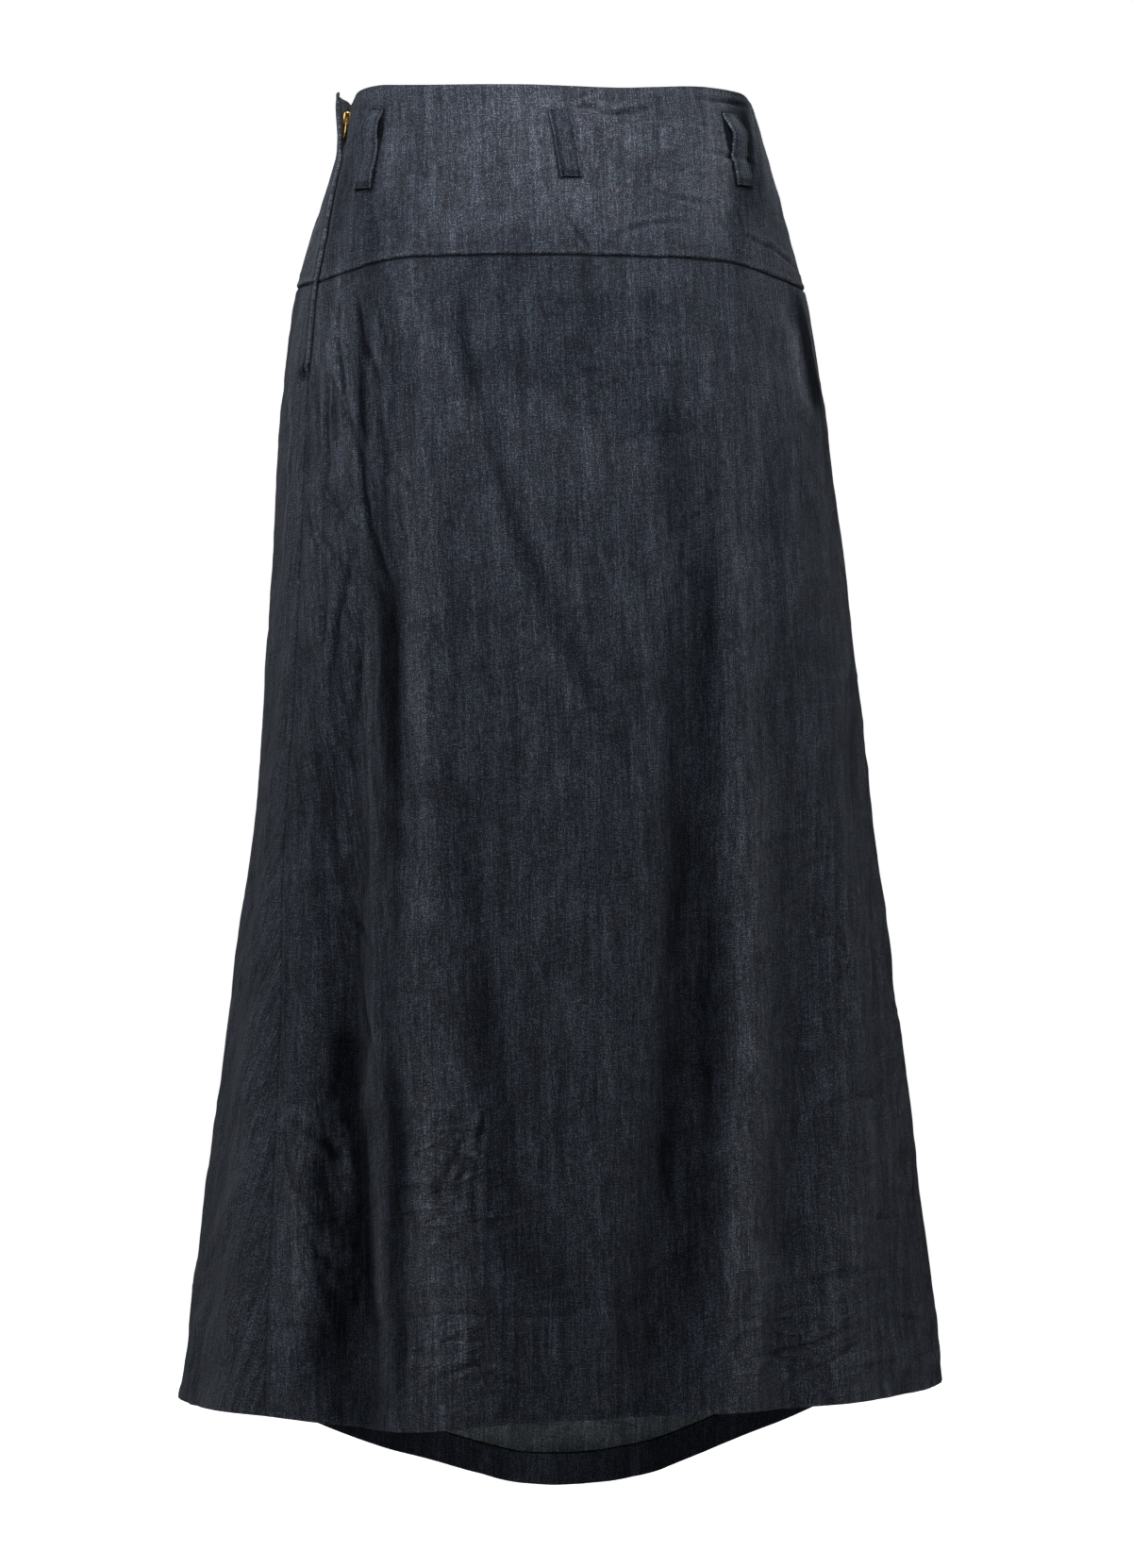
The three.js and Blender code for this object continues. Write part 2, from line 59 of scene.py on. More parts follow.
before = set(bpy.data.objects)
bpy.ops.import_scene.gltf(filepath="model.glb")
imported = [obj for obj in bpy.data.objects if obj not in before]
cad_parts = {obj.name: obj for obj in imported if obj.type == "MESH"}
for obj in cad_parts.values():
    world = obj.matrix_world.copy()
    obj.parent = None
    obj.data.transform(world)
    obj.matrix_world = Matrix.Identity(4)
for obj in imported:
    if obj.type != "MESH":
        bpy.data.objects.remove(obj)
CAD_BOX = [list(corner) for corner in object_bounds()]
MM = 0.001

# Half width, sideways shift of the middle, and depth to the back and to the front, down the skirt
OUTLINE_COLUMNS = ("drop", "half", "shift", "back", "front")
OUTLINE = [
    (0, 131, 0, 97, 97),
    (30, 138, 1.8, 102, 101),
    (90, 155.5, 1, 114, 108),
    (130, 166, 1, 124, 112),
    (180, 173.5, 2, 133, 115),
    (310, 186, 6, 147, 126),
    (460, 200, 9.5, 159, 140),
    (600, 218, 9, 170, 154),
    (750, 237, 9, 181, 170),
    (915, 257, 8, 192, 188),
]

# Angle of each side seam
SEAM_COLUMNS = ("drop", "left", "right")
SIDE_SEAMS = [
    (0, -80, 86),
    (50, -77.5, 88),
    (100, -71, 89),
    (180, -67.7, 90),
    (350, -66, 92),
    (480, -64.4, 94),
    (600, -58.3, 95),
    (915, -50, 97),
]

# Large soft folds: angle at the hip, half way down and at the hem; half width and softness of the
# sides in degrees; drops where the fold starts and is full; depth, out or in
FOLDS = [
    (-74, -69, -60, 5, 6, 260, 800, 9),
    (-44, -47, -36.5, 3.5, 4, 190, 620, -21),
    (-31.5, -30, -21.5, 3, 4.5, 170, 600, 9),
    (-18, -20, -10, 2.5, 4, 300, 700, -6),
    (26, 19.5, 10, 5, 4, 210, 560, -15),
    (33, 29, 23, 2.5, 4, 200, 600, 9),
    (42, 43, 29.5, 2.5, 4, 260, 700, -6),
    (62, 55, 41, 5, 5, 230, 700, 8),
    (108, 112, 112, 4, 5, 250, 700, 9),
    (124, 128, 131, 4, 5, 280, 720, -14),
    (146, 147, 148, 4, 4, 300, 760, 12),
    (175, 174, 173, 14, 3.5, 320, 800, -20),
    (204, 200, 197, 4, 4, 300, 760, 11),
    (222, 221, 220, 4, 5, 260, 720, -15),
    (246, 245, 243, 4, 5, 260, 700, 9),
]

# Drops of the hip, half way down and the hem, and how much lower the hem is at the left
HIP_DROP = 180
MID_DROP = 480
HEM_DROP = 829
HEM_TILT = 4.5

# The yoke seam dips towards the sides, and the hem at the front and at one place of the back
YOKE_DROP = 109
YOKE_DIP = 12
YOKE_DIP_FROM = 36
YOKE_DIP_TO = 72
FRONT_DIP = 84
FRONT_DIP_ANGLE = 176.5
BACK_SAG = 7
BACK_SAG_ANGLE = -28
BACK_SAG_WIDTH = 16
TURN_UP = 22

# The gap between layers that lie on each other, and how far each edge goes past its seam
SEAM_GAP = 0.3
SEAM_LAP = 0.12

# Rough spans of the pieces, which the spacing of their points goes by
YOKE_DOWN = 116
BACK_YOKE_ACROSS = 390
FRONT_YOKE_ACROSS = 430
BACK_PANEL_DOWN = 716
BACK_PANEL_ACROSS = 600
FRONT_PANEL_DOWN = 790
FRONT_PANEL_ACROSS = 760

# The lap over the zip
LAP_WIDTH = 14
LAP_FLAT = 4
LAP_OVER = 1.5
LAP_LIFT = 1.95
LAP_GAPE = 6.2
LAP_GAPE_LIFT = 8
LAP_OPEN_TO = 27
LAP_CLOSED_FROM = 44
LAP_END = 169
LAP_CLOSE = 175.5
LAP_BOTTOM = 182
LAP_TIP_RISE = 5
CORNER_FALL = 3.5
CORNER_WIDTH = 9
CHAIN_MIDDLE = -3.9
CHAIN_WIDTH = 5.4
CHAIN_TOP = 18
CHAIN_BOTTOM = 176
TAPE_WIDTH = 10
TAPE_GAP = 0.4
TAPE_TOP = 4
TAPE_BOTTOM = 183
TAPE_WALL = 0.5
TAPE_DEPTH = 1.95
TOOTH_SIZE = (2.9, 1.05, 1.9)
TOOTH_ASIDE = 0.75
TOOTH_DEPTH = 2.5
TOP_TEETH_DROP = 6.4

# Rows of stitches, from the lap's edge, from the left seam and above the turn-up
LAP_STITCHES = (-11.5, -2.4)
SEAM_STITCHES = 1.9
HEM_STITCHES = 0.8
STITCH_PITCH = 1.22

# The white cove's flat radius and the radius of its bend, in metres
COVE_RADIUS = 5.0
COVE_BEND = 1.5

# Belt loops: name, angle of the top and bottom end, their drops, how far the strap bulges, and how
# far down it bulges most, as a share of its length
LOOP_WIDTH = 13.2
BELT_LOOPS = [
    ("belt_loop_back", -1.9, 0.8, 17, 59.5, 1.3, 0.35),
    ("belt_loop_back_left", -59.6, -57.7, 12, 63, 3.4, 0.24),
    ("belt_loop_back_right", 53.5, 52.2, 13, 59.5, 3.6, 0.3),
    ("belt_loop_front_right", 138, 137.5, 15, 62, 2.6, 0.35),
    ("belt_loop_front_left", 222, 222.5, 15, 62, 2.2, 0.4),
]

# The waist's edge isn't level: angle, and how far it stands above the waist's height
WAIST_RISE_COLUMNS = ("angle", "rise")
WAIST_RISE = [
    (-90, -1),
    (-80, -1),
    (-72, 3),
    (-60, 4.4),
    (-50, 3.1),
    (-38, 1.6),
    (-20, 0.5),
    (-8, 0),
    (8, -1.2),
    (17, -1),
    (26, 0.4),
    (42, 3),
    (58, 3.2),
    (68, 2.4),
    (78, -2.4),
    (86, -6),
    (94, -4.4),
    (106, 0.6),
    (130, 2.6),
    (160, 0.8),
    (190, -0.6),
    (215, 1.2),
    (240, 2.4),
    (262, 0),
    (290, -1),
]

# Creases of the back: across and drop of each end, half width, height (in if negative), and how far
# the line bows sideways
BACK_CREASES = [
    (-60, 136, -46, 222, 6, -0.62, 3),
    (-46, 222, -28, 300, 6, -0.77, 2),
    (-28, 300, 1, 379, 6, -0.58, 0),
    (1, 379, 14, 416, 6, -0.38, 0),
    (-144, 143, -137, 206, 2.3, -0.96, 2),
    (-137, 206, -128, 235, 2.3, -0.96, 0),
    (-128, 235, -124, 278, 2.3, -0.81, 0),
    (-124, 278, -109, 316, 2.6, -0.89, 0),
    (-128, 132, -119, 170, 2.3, -0.89, 2),
    (-119, 170, -111, 188, 2.3, -0.81, 0),
    (-114, 136, -108, 172, 2.2, -0.59, -2),
    (-177, 264, -172, 282, 2.2, -0.81, 0),
    (-172, 282, -162, 296, 2.2, -0.81, 0),
    (-138, 296, -145, 322, 2.6, -0.67, 0),
    (-145, 322, -153, 352, 2.6, -0.81, 2),
    (-153, 352, -158, 374, 2.6, -0.59, 0),
    (-102, 264, -94, 296, 2.3, -0.74, 2),
    (-103, 245, -93, 260, 2, -0.74, -2),
    (-208, 170, -202, 216, 2.2, 0.74, 0),
    (-202, 216, -211, 296, 2.2, 0.74, 0),
    (-211, 296, -230, 355, 2.2, 0.67, 0),
    (-165, 194, -163, 231, 2.2, -0.67, 0),
    (-154, 183, -154, 243, 2.3, -0.74, 2),
    (-115, 197, -113, 232, 2.6, -0.67, 0),
    (-160, 314, -163, 362, 2.3, -0.67, 0),
    (-133, 326, -142, 397, 2.6, -0.74, 0),
    (-126, 362, -124, 456, 2.6, -0.59, 2),
    (-60, 638, -67, 662, 2, 0.81, 0),
    (-60, 638, -63, 677, 2, -0.89, 0),
    (-65, 651, -83, 694, 2, -0.89, 0),
    (-66, 654, -79, 690, 2, 0.67, 0),
    (-63, 677, -64, 706, 2, -0.67, 0),
    (-100, 688, -79, 692, 2.2, -0.74, 0),
    (-98, 698, -64, 702, 2.2, 0.59, 2),
    (-189, 658, -162, 663, 2.2, -0.37, -3),
    (-189, 660, -165, 708, 2.6, -0.59, 3),
    (-162, 653, -147, 690, 2.3, -0.52, 2),
    (-147, 655, -148, 714, 2.3, -0.59, 0),
    (-142, 672, -143, 760, 2.6, -0.81, 0),
    (-164, 732, -155, 743, 2.2, -0.67, -2),
    (-159, 744, -156, 732, 1.9, -0.4, 0),
    (-250, 770, -198, 772, 1.9, -0.36, 3),
    (-189, 776, -161, 777, 1.9, -0.44, 0),
    (-102, 767, -64, 764, 1.9, -0.4, 0),
    (-64, 765, -3, 763, 1.9, -0.36, 1),
    (-97, 770, -98, 828, 1.9, 0.67, 0),
    (-61, 792, -90, 810, 1.9, -0.44, 0),
    (-61, 792, -34, 806, 1.9, 0.44, 0),
    (-165, 644, -160, 632, 2.3, -0.37, 0),
    (-102, 788, -79, 790, 1.9, -0.36, 0),
    (73, 770, 126, 778, 1.9, -0.41, -3),
    (89, 794, 164, 775, 1.9, -0.49, 4),
    (103, 754, 182, 745, 2.4, -0.37, -3),
    (-74, 800, -54, 792, 1.9, -0.41, 0),
    (-171, 274, -132, 323, 2.4, -0.53, -3),
    (-158, 243, -138, 280, 1.9, -0.49, 2),
    (-145, 226, -122, 271, 2.4, -0.45, 3),
    (-165, 356, -158, 398, 2.4, -0.41, -2),
    (-114, 185, -108, 244, 2.9, -0.45, 0),
    (-9, 187, 61, 178, 1.9, -0.33, -3),
    (2, 164, 50, 158, 1.9, -0.24, 3),
    (-4, 204, 48, 210, 1.9, -0.29, 3),
    (15, 228, 71, 218, 2.4, -0.24, -2),
    (25, 96, 64, 86, 1.8, -0.71, -3),
    (-1, 84, 10, 102, 1.8, -0.8, 0),
    (53, 68, 92, 72, 1.8, -0.62, 2),
    (7, 14, 21, 18, 1.8, -0.89, -2),
    (21, 18, 49, 12, 1.8, -0.89, 2),
    (84, 5, 137, 4, 1.8, -0.89, 0),
    (83, 39, 134, 44, 1.8, -0.71, 0),
    (114, 92, 194, 111, 1.8, -0.62, 0),
    (-160, 468, -153, 514, 2.4, -0.41, 2),
    (-163, 515, -126, 544, 2.4, -0.45, -2),
    (-141, 556, -122, 614, 2.9, -0.41, 3),
    (-190, 646, -154, 673, 2.9, -0.41, -3),
    (-167, 709, -151, 772, 2.9, -0.45, 3),
    (44, 328, 65, 304, 2.4, -0.29, 0),
    (57, 280, 81, 256, 2.4, -0.29, 0),
    (-16, 398, 15, 390, 2.4, -0.24, 2),
    (-33, 492, 8, 480, 2.4, -0.24, -2),
    (95, 481, 158, 470, 2.4, -0.29, -3),
    (117, 545, 167, 564, 2.4, -0.29, 2),
    (131, 645, 199, 636, 2.4, -0.33, -3),
    (144, 704, 217, 714, 2.4, -0.33, 3),
    (-3, 700, 7, 740, 2.9, -0.33, 0),
    (42, 654, 49, 706, 2.9, -0.29, 0),
    (187, 772, 267, 784, 1.9, -0.33, 0),
    (135, 803, 154, 790, 1.9, -0.37, 0),
]

# Creases of the front, of the same kinds as the back's
FRONT_CREASES = [
    (52, 130, 38, 214, 4.9, -0.83, -3),
    (38, 214, 17, 305, 5.6, -0.99, -2),
    (-20, 170, 44, 162, 3, -0.39, 3),
    (-62, 196, -8, 205, 3.5, -0.39, -3),
    (-30, 88, 12, 96, 3, -0.44, 2),
    (70, 66, 108, 74, 3.5, -0.39, 2),
    (-96, 40, -52, 34, 3.5, -0.44, -2),
    (150, 236, 122, 290, 3.5, -0.66, 3),
    (164, 268, 138, 322, 3.5, -0.61, -2),
    (172, 322, 150, 368, 3.5, -0.61, 2),
    (-148, 148, -118, 220, 3.5, -0.66, -4),
    (-168, 196, -156, 262, 3, -0.55, 2),
    (140, 140, 112, 190, 3, -0.55, -2),
    (-120, 560, -84, 596, 3.5, -0.5, 3),
    (88, 520, 128, 486, 3.5, -0.5, -3),
    (160, 620, 118, 652, 4.2, -0.55, 2),
    (-214, 640, -166, 676, 4.2, -0.55, -3),
    (-90, 716, -28, 706, 3.5, -0.44, 3),
    (26, 742, 82, 754, 3, -0.5, -3),
    (120, 770, 176, 756, 3, -0.55, 4),
    (-182, 768, -120, 780, 3, -0.55, -3),
    (-70, 842, -22, 832, 3, -0.5, 2),
    (-8, 780, 4, 836, 4.2, -0.44, 0),
    (204, 716, 252, 700, 3.5, -0.44, 2),
    (-36, 420, 6, 452, 3.5, -0.39, 2),
    (60, 372, 84, 326, 3.5, -0.39, 0),
]

# Bands of painted shade and highlight on the back, partly wear: paler if positive, darker if
# negative, laid out as the creases are
BACK_SHADE_AND_WEAR = [
    (-120, 125, -126, 215, 8, -0.26, 0),
    (-124, 149, -119, 316, 8, -0.28, 0),
    (-110, 328, -108, 568, 7, -0.4, 0),
    (-107, 568, -105, 804, 7, -0.36, 0),
    (68, 280, 73, 350, 9, -0.2, 0),
    (72, 350, 64, 480, 9, -0.18, 0),
    (64, 480, 64, 654, 11, -0.2, 0),
    (61, 654, 63, 800, 11, -0.26, 0),
    (51, 222, 57, 328, 8, -0.25, 0),
    (57, 328, 50, 421, 8, -0.26, 0),
    (50, 421, 48, 538, 9, -0.25, 0),
    (48, 538, 45, 678, 9, -0.2, 0),
    (97, 232, 102, 362, 13, 0.22, 0),
    (102, 362, 89, 598, 13, 0.18, 0),
    (89, 598, 81, 794, 13, 0.12, 0),
    (-70, 456, -62, 550, 7, -0.18, 0),
    (-62, 550, -50, 654, 9, -0.2, 0),
    (-50, 654, -42, 804, 16, -0.16, 0),
    (-19, 723, -13, 780, 14, -0.2, 0),
    (-162, 386, -170, 551, 6, -0.12, 0),
    (-217, 588, -194, 804, 24, 0.2, 0),
    (-176, 657, -173, 773, 9, 0.14, 0),
    (-88, 304, -85, 340, 9, 0.15, 0),
    (-149, 456, -149, 508, 7, 0.15, 0),
    (-90, 463, -87, 510, 7, 0.15, 0),
    (-172, 592, -168, 627, 7, 0.25, 0),
    (-153, 662, -150, 702, 5, 0.3, 0),
    (-80, 643, -79, 792, 12, 0.05, 0),
    (-90, 234, -86, 328, 10, 0.12, 0),
    (74, 125, 79, 197, 7, 0.15, 0),
    (-92, 121, -93, 144, 6, 0.15, 0),
    (-43, 136, 51, 144, 14, -0.3, 0),
    (-49, 166, 44, 177, 22, -0.3, 0),
    (43, 198, 58, 233, 18, -0.14, 0),
    (169, 131, 189, 203, 10, -0.3, 0),
    (-152, 17, -151, 114, 20, -0.3, 0),
    (-99, 58, -103, 116, 18, -0.18, 0),
    (131, 16, 128, 91, 14, -0.22, 0),
    (-42, 106, 64, 107, 10, -0.12, 0),
    (-12, 561, -3, 596, 20, 0.1, 0),
    (-119, 315, -120, 510, 6, -0.3, 0),
    (-97, 150, -97, 222, 8, -0.3, 0),
    (77, 292, 69, 421, 7, -0.2, 0),
    (71, 538, 67, 713, 9, -0.25, 0),
    (177, 136, 192, 197, 10, -0.35, 0),
    (-126, 32, -117, 112, 10, -0.2, 0),
    (129, 0, 115, 80, 12, -0.2, 0),
    (-4, 210, 48, 212, 14, -0.2, 0),
    (172, 137, 186, 198, 10, -0.4, 0),
    (134, 0, 129, 60, 16, -0.25, 0),
    (-42, 91, -32, 118, 60, -0.12, 0),
    (-111, 280, -112, 422, 10, -0.25, 0),
    (-124, 142, -124, 232, 5, -0.2, 0),
    (-102, 758, -105, 810, 8, -0.2, 0),
    (6, 710, 12, 810, 40, -0.1, 0),
    (51, 625, 45, 712, 10, -0.25, 0),
    (-182, 657, -176, 750, 9, 0.15, 0),
    (-64, 648, -62, 694, 5, 0.2, 0),
    (100, 540, 103, 656, 10, 0.1, 0),
    (-148, 147, -150, 184, 6, 0.2, 0),
    (-54, 132, 51, 133, 15, -0.26, 0),
    (-153, 608, -143, 772, 14, -0.26, 0),
    (-136, 655, -134, 766, 7, -0.32, 0),
    (-160, 772, -162, 808, 11, -0.28, 0),
    (126, 0, 152, 114, 18, -0.22, 0),
    (-136, 31, -120, 118, 22, -0.16, 0),
    (-53, 108, 46, 104, 12, -0.16, 0),
    (-126, 196, -124, 280, 5, -0.2, 0),
    (-120, 538, -117, 626, 6, -0.2, 0),
    (-90, 469, -80, 515, 16, -0.12, 0),
    (42, 620, 37, 712, 12, -0.14, 0),
    (-109, 298, -108, 416, 8, -0.2, 0),
    (-113, 626, -113, 753, 9, -0.36, 0),
    (-159, 653, -147, 708, 10, 0.26, 0),
    (-160, 714, -156, 740, 7, 0.16, 0),
    (65, 508, 65, 602, 7, 0.22, 0),
    (46, 602, 43, 718, 9, 0.2, 0),
    (-49, 140, 24, 140, 12, 0.22, 0),
    (-30, 120, 24, 120, 7, -0.16, 0),
    (172, 146, 180, 194, 9, -0.3, 0),
    (120, 0, 107, 117, 10, -0.26, 0),
    (146, 8, 129, 60, 4, 0.25, 0),
    (29, 756, 31, 793, 8, 0.16, 0),
    (-147, 584, -142, 649, 6, 0.18, 0),
    (141, 480, 140, 528, 8, 0.16, 0),
    (-108, 136, -109, 280, 7, -0.38, 0),
    (64, 599, 57, 712, 7, 0.24, 0),
    (-99, 649, -96, 730, 6, -0.28, 0),
    (162, 138, 172, 195, 8, -0.26, 0),
    (107, 6, 102, 111, 9, -0.2, 0),
    (-58, 186, -35, 282, 8, 0.12, 0),
    (-161, 740, -158, 772, 9, -0.16, 0),
    (-137, 754, -133, 794, 6, 0.16, 0),
    (-155, 122, -144, 184, 9, -0.16, 0),
    (-112, 298, -113, 410, 4, 0.14, 0),
]

# Bands of painted shade and highlight on the front, partly wear, laid out as the back's
FRONT_SHADE_AND_WEAR = [
    (-36, 140, 40, 158, 20, -0.15, 0),
    (112, 130, 108, 420, 9, -0.2, 0),
    (96, 420, 92, 760, 10, -0.18, 0),
    (-60, 300, -64, 640, 10, -0.18, 0),
    (-60, 640, -66, 830, 12, -0.2, 0),
    (-84, 480, -90, 800, 11, 0.18, 0),
    (60, 520, 66, 840, 11, 0.16, 0),
    (150, 560, 176, 760, 16, 0.15, 0),
    (-176, 560, -190, 780, 18, 0.15, 0),
    (10, 480, -4, 860, 14, -0.14, 0),
    (168, 790, 160, 905, 26, -0.38, 0),
    (-150, 850, -170, 880, 24, -0.2, 0),
    (259, 170, 280, 216, 2.2, 0.35, 0),
    (280, 216, 295, 296, 2.2, 0.35, 0),
    (295, 296, 292, 355, 2.2, 0.3, 0),
    (72, 868, -64, 868, 13, 0.34, -6),
    (104, 868, 64, 884, 16, -0.4, 0),
]

# Places of the back and the front full of small wrinkles: across and drop of the middle, half size
# across and down, how strong the wrinkles down the cloth are and those across it
BACK_CRUSHED = [
    (-150, 190, 36, 80, 1.0, 0.2),
    (-146, 450, 32, 120, 0.7, 0.1),
    (-152, 690, 34, 90, 1.0, 0.5),
    (-72, 680, 36, 50, 0.3, 0.9),
    (-70, 785, 60, 26, 0.3, 0.8),
    (120, 785, 70, 30, 0.2, 0.8),
    (-230, 640, 40, 160, 0.6, 0.4),
    (60, 40, 60, 40, 0.1, 0.6),
    (10, 175, 50, 40, 0.1, 0.4),
    (150, 560, 60, 120, 0.3, 0.4),
    (180, 170, 30, 70, 0.5, 0.2),
]
FRONT_CRUSHED = [
    (-150, 200, 36, 80, 0.8, 0.2),
    (130, 240, 40, 90, 0.9, 0.2),
    (-60, 620, 50, 110, 0.6, 0.5),
    (110, 680, 60, 90, 0.5, 0.5),
    (-10, 840, 90, 40, 0.3, 0.7),
    (-50, 60, 50, 40, 0.1, 0.5),
]

# Crumpling all over: size of its facets and their height
CRUMPLE = [(58, 1.3), (27, 0.95), (13, 0.45)]


def srgb(code):
    """A six-figure hex colour as linear red, green and blue."""
    parts = [int(code[k:k + 2], 16) / 255 for k in (0, 2, 4)]
    return tuple(c / 12.92 if c <= 0.04045 else ((c + 0.055) / 1.055) ** 2.4 for c in parts)


# The form of the cloth

def smooth(x, low, high):
    s = np.clip((x - low) / (high - low), 0, 1)
    return s * s * (3 - 2 * s)


def mix(a, b, s):
    return a + (b - a) * s


def bell(off, width):
    """1 at an offset of 0, falling off on both sides."""
    return np.exp(-((off / width) ** 2))


def wrap(degrees):
    return (degrees + 180) % 360 - 180


def read_table(rows, columns, drop, column):
    """A smooth curve through one column of a table, read at an array of drops."""
    table = np.array(rows, float)
    at_rows = table[:, 0]
    values = table[:, columns.index(column)]
    last = len(rows) - 1
    at = np.clip(drop, at_rows[0], at_rows[last])
    k = np.clip(np.searchsorted(at_rows, at, side="right") - 1, 0, last - 1)
    before = np.maximum(np.arange(last + 1) - 1, 0)
    after = np.minimum(np.arange(last + 1) + 1, last)
    slope = (values[after] - values[before]) / (at_rows[after] - at_rows[before])
    step = at_rows[k + 1] - at_rows[k]
    s = (at - at_rows[k]) / step
    blend = s * s * (3 - 2 * s)
    lead = s * (1 - s) ** 2 * step * slope[k]
    trail = s * s * (s - 1) * step * slope[k + 1]
    return values[k] * (1 - blend) + values[k + 1] * blend + lead + trail


def outline(drop, column):
    return read_table(OUTLINE, OUTLINE_COLUMNS, drop, column)


def fold_depth(angle, drop):
    """How far the large folds push the cloth out or in."""
    total = 0
    for hip, mid, hem, half, turn, start, full, depth in FOLDS:
        upper = mix(hip, mid, smooth(drop, HIP_DROP, MID_DROP))
        lower = mix(mid, hem, smooth(drop, MID_DROP, HEM_DROP))
        off = wrap(angle - np.where(drop < MID_DROP, upper, lower))
        shape = np.tanh((off + half) / turn) - np.tanh((off - half) / turn)
        total = total + depth * shape / (2 * math.tanh(half / turn)) * smooth(drop, start, full)
    return total


def body_point(angle, drop):
    angle, drop = np.broadcast_arrays(np.asarray(angle, float), np.asarray(drop, float))
    side, back = np.sin(np.radians(angle)), np.cos(np.radians(angle))
    depth = np.where(back > 0, outline(drop, "back"), outline(drop, "front"))
    x = outline(drop, "shift") + outline(drop, "half") * side
    return np.stack([x, -depth * back, -drop], -1)


def normal_of(place, angle, drop):
    round_way = place(angle + 0.2, drop) - place(angle - 0.2, drop)
    down_way = place(angle, drop + 0.5) - place(angle, drop - 0.5)
    out = np.cross(down_way, round_way)
    return out / np.linalg.norm(out, axis=-1, keepdims=True)


def folded_point(angle, drop):
    push = fold_depth(angle, drop)
    return body_point(angle, drop) + normal_of(body_point, angle, drop) * push[..., None]


def cloth_point(angle, drop, out):
    """A point on the cloth, moved out by a distance."""
    angle, drop, out = np.broadcast_arrays(*[np.asarray(a, float) for a in (angle, drop, out)])
    return folded_point(angle, drop) + normal_of(folded_point, angle, drop) * out[..., None]


def degrees_per_mm(angle, drop):
    chord = folded_point(angle + 0.5, drop) - folded_point(angle - 0.5, drop)
    return 1 / np.linalg.norm(chord, axis=-1)


def seam_angle(drop, side):
    return read_table(SIDE_SEAMS, SEAM_COLUMNS, drop, side)


def beside_zip(drop, along):
    seam = seam_angle(drop, "left")
    return seam + along * degrees_per_mm(seam, drop)


def yoke_edge(angle):
    from_back = np.abs(wrap(angle))
    from_middle = np.minimum(from_back, 180 - from_back)
    return YOKE_DROP + YOKE_DIP * smooth(from_middle, YOKE_DIP_FROM, YOKE_DIP_TO)


def hem_edge(angle):
    sag = BACK_SAG * bell(wrap(angle) - BACK_SAG_ANGLE, BACK_SAG_WIDTH)
    front = np.maximum(np.cos(np.radians(angle - FRONT_DIP_ANGLE)), 0) ** 3
    return HEM_DROP - HEM_TILT * np.sin(np.radians(angle)) + sag + FRONT_DIP * front


def lap_edge(drop):
    gaping = LAP_GAPE * (1 - smooth(drop, LAP_OPEN_TO, LAP_CLOSED_FROM))
    closed = LAP_OVER - (LAP_OVER - SEAM_LAP) * smooth(drop, LAP_END, LAP_CLOSE)
    return closed - gaping - LAP_OVER * smooth(gaping, 0, LAP_GAPE)


def lap_lift(drop):
    gape = (LAP_GAPE_LIFT - LAP_LIFT) * (1 - smooth(drop, 0, LAP_CLOSED_FROM)) ** 1.5
    return (LAP_LIFT + gape) * (1 - smooth(drop, LAP_CLOSE, LAP_BOTTOM))


def girth(drop):
    """The body's way round at a drop, as that of an ellipse."""
    a = outline(drop, "half")
    b = (outline(drop, "back") + outline(drop, "front")) / 2
    return math.pi * (3 * (a + b) - np.sqrt((3 * a + b) * (a + 3 * b)))


def lattice_noise(x, y, seed):
    """Soft noise from -1 to 1, with one hill or dip in each unit square."""
    heights = np.random.default_rng(seed).uniform(-1, 1, (128, 128))
    column, row = np.floor(x).astype(int), np.floor(y).astype(int)
    s, t = x - column, y - row
    s, t = s * s * (3 - 2 * s), t * t * (3 - 2 * t)

    def at(i, j):
        return heights[(row + j) % 128, (column + i) % 128]

    return mix(mix(at(0, 0), at(1, 0), s), mix(at(0, 1), at(1, 1), s), t)


def crumple(across, drop, seed):
    """Facets with soft ridges between them, as in cloth that was folded and shaken out."""
    total = 0
    for k, (size, height) in enumerate(CRUMPLE):
        turn = 0.6 + 1.1 * k
        x = (across * math.cos(turn) + drop * math.sin(turn)) / size
        y = (drop * math.cos(turn) - across * math.sin(turn)) / size
        bend = lattice_noise(x * 0.5 + 9, y * 0.5 + 4, seed + 40 + k)
        facet = lattice_noise(x + bend * 0.8, y - bend * 0.8, seed + k)
        total = total + height * (1 - 2 * np.sqrt(facet * facet + 0.015))
    return total


def crease_height(creases, across, drop):
    """Listed creases with soft lips, each deepest at its middle and fading at its ends."""
    total = np.zeros_like(across)
    for x0, y0, x1, y1, half, height, bow in creases:
        run = np.hypot(x1 - x0, y1 - y0)
        ex, ey = (x1 - x0) / run, (y1 - y0) / run
        along = (across - x0) * ex + (drop - y0) * ey
        share = np.clip(along / run, 0, 1)
        aside = (drop - y0) * ex - (across - x0) * ey - bow * np.sin(math.pi * share)
        past = along - share * run
        lips = 0.42 * bell(np.abs(aside) - 1.9 * half, 0.9 * half)
        shape = (bell(aside, half) - lips) * bell(past, 1.5 * half)
        total += height * shape * (0.45 + 0.55 * np.sin(math.pi * share))
    return total


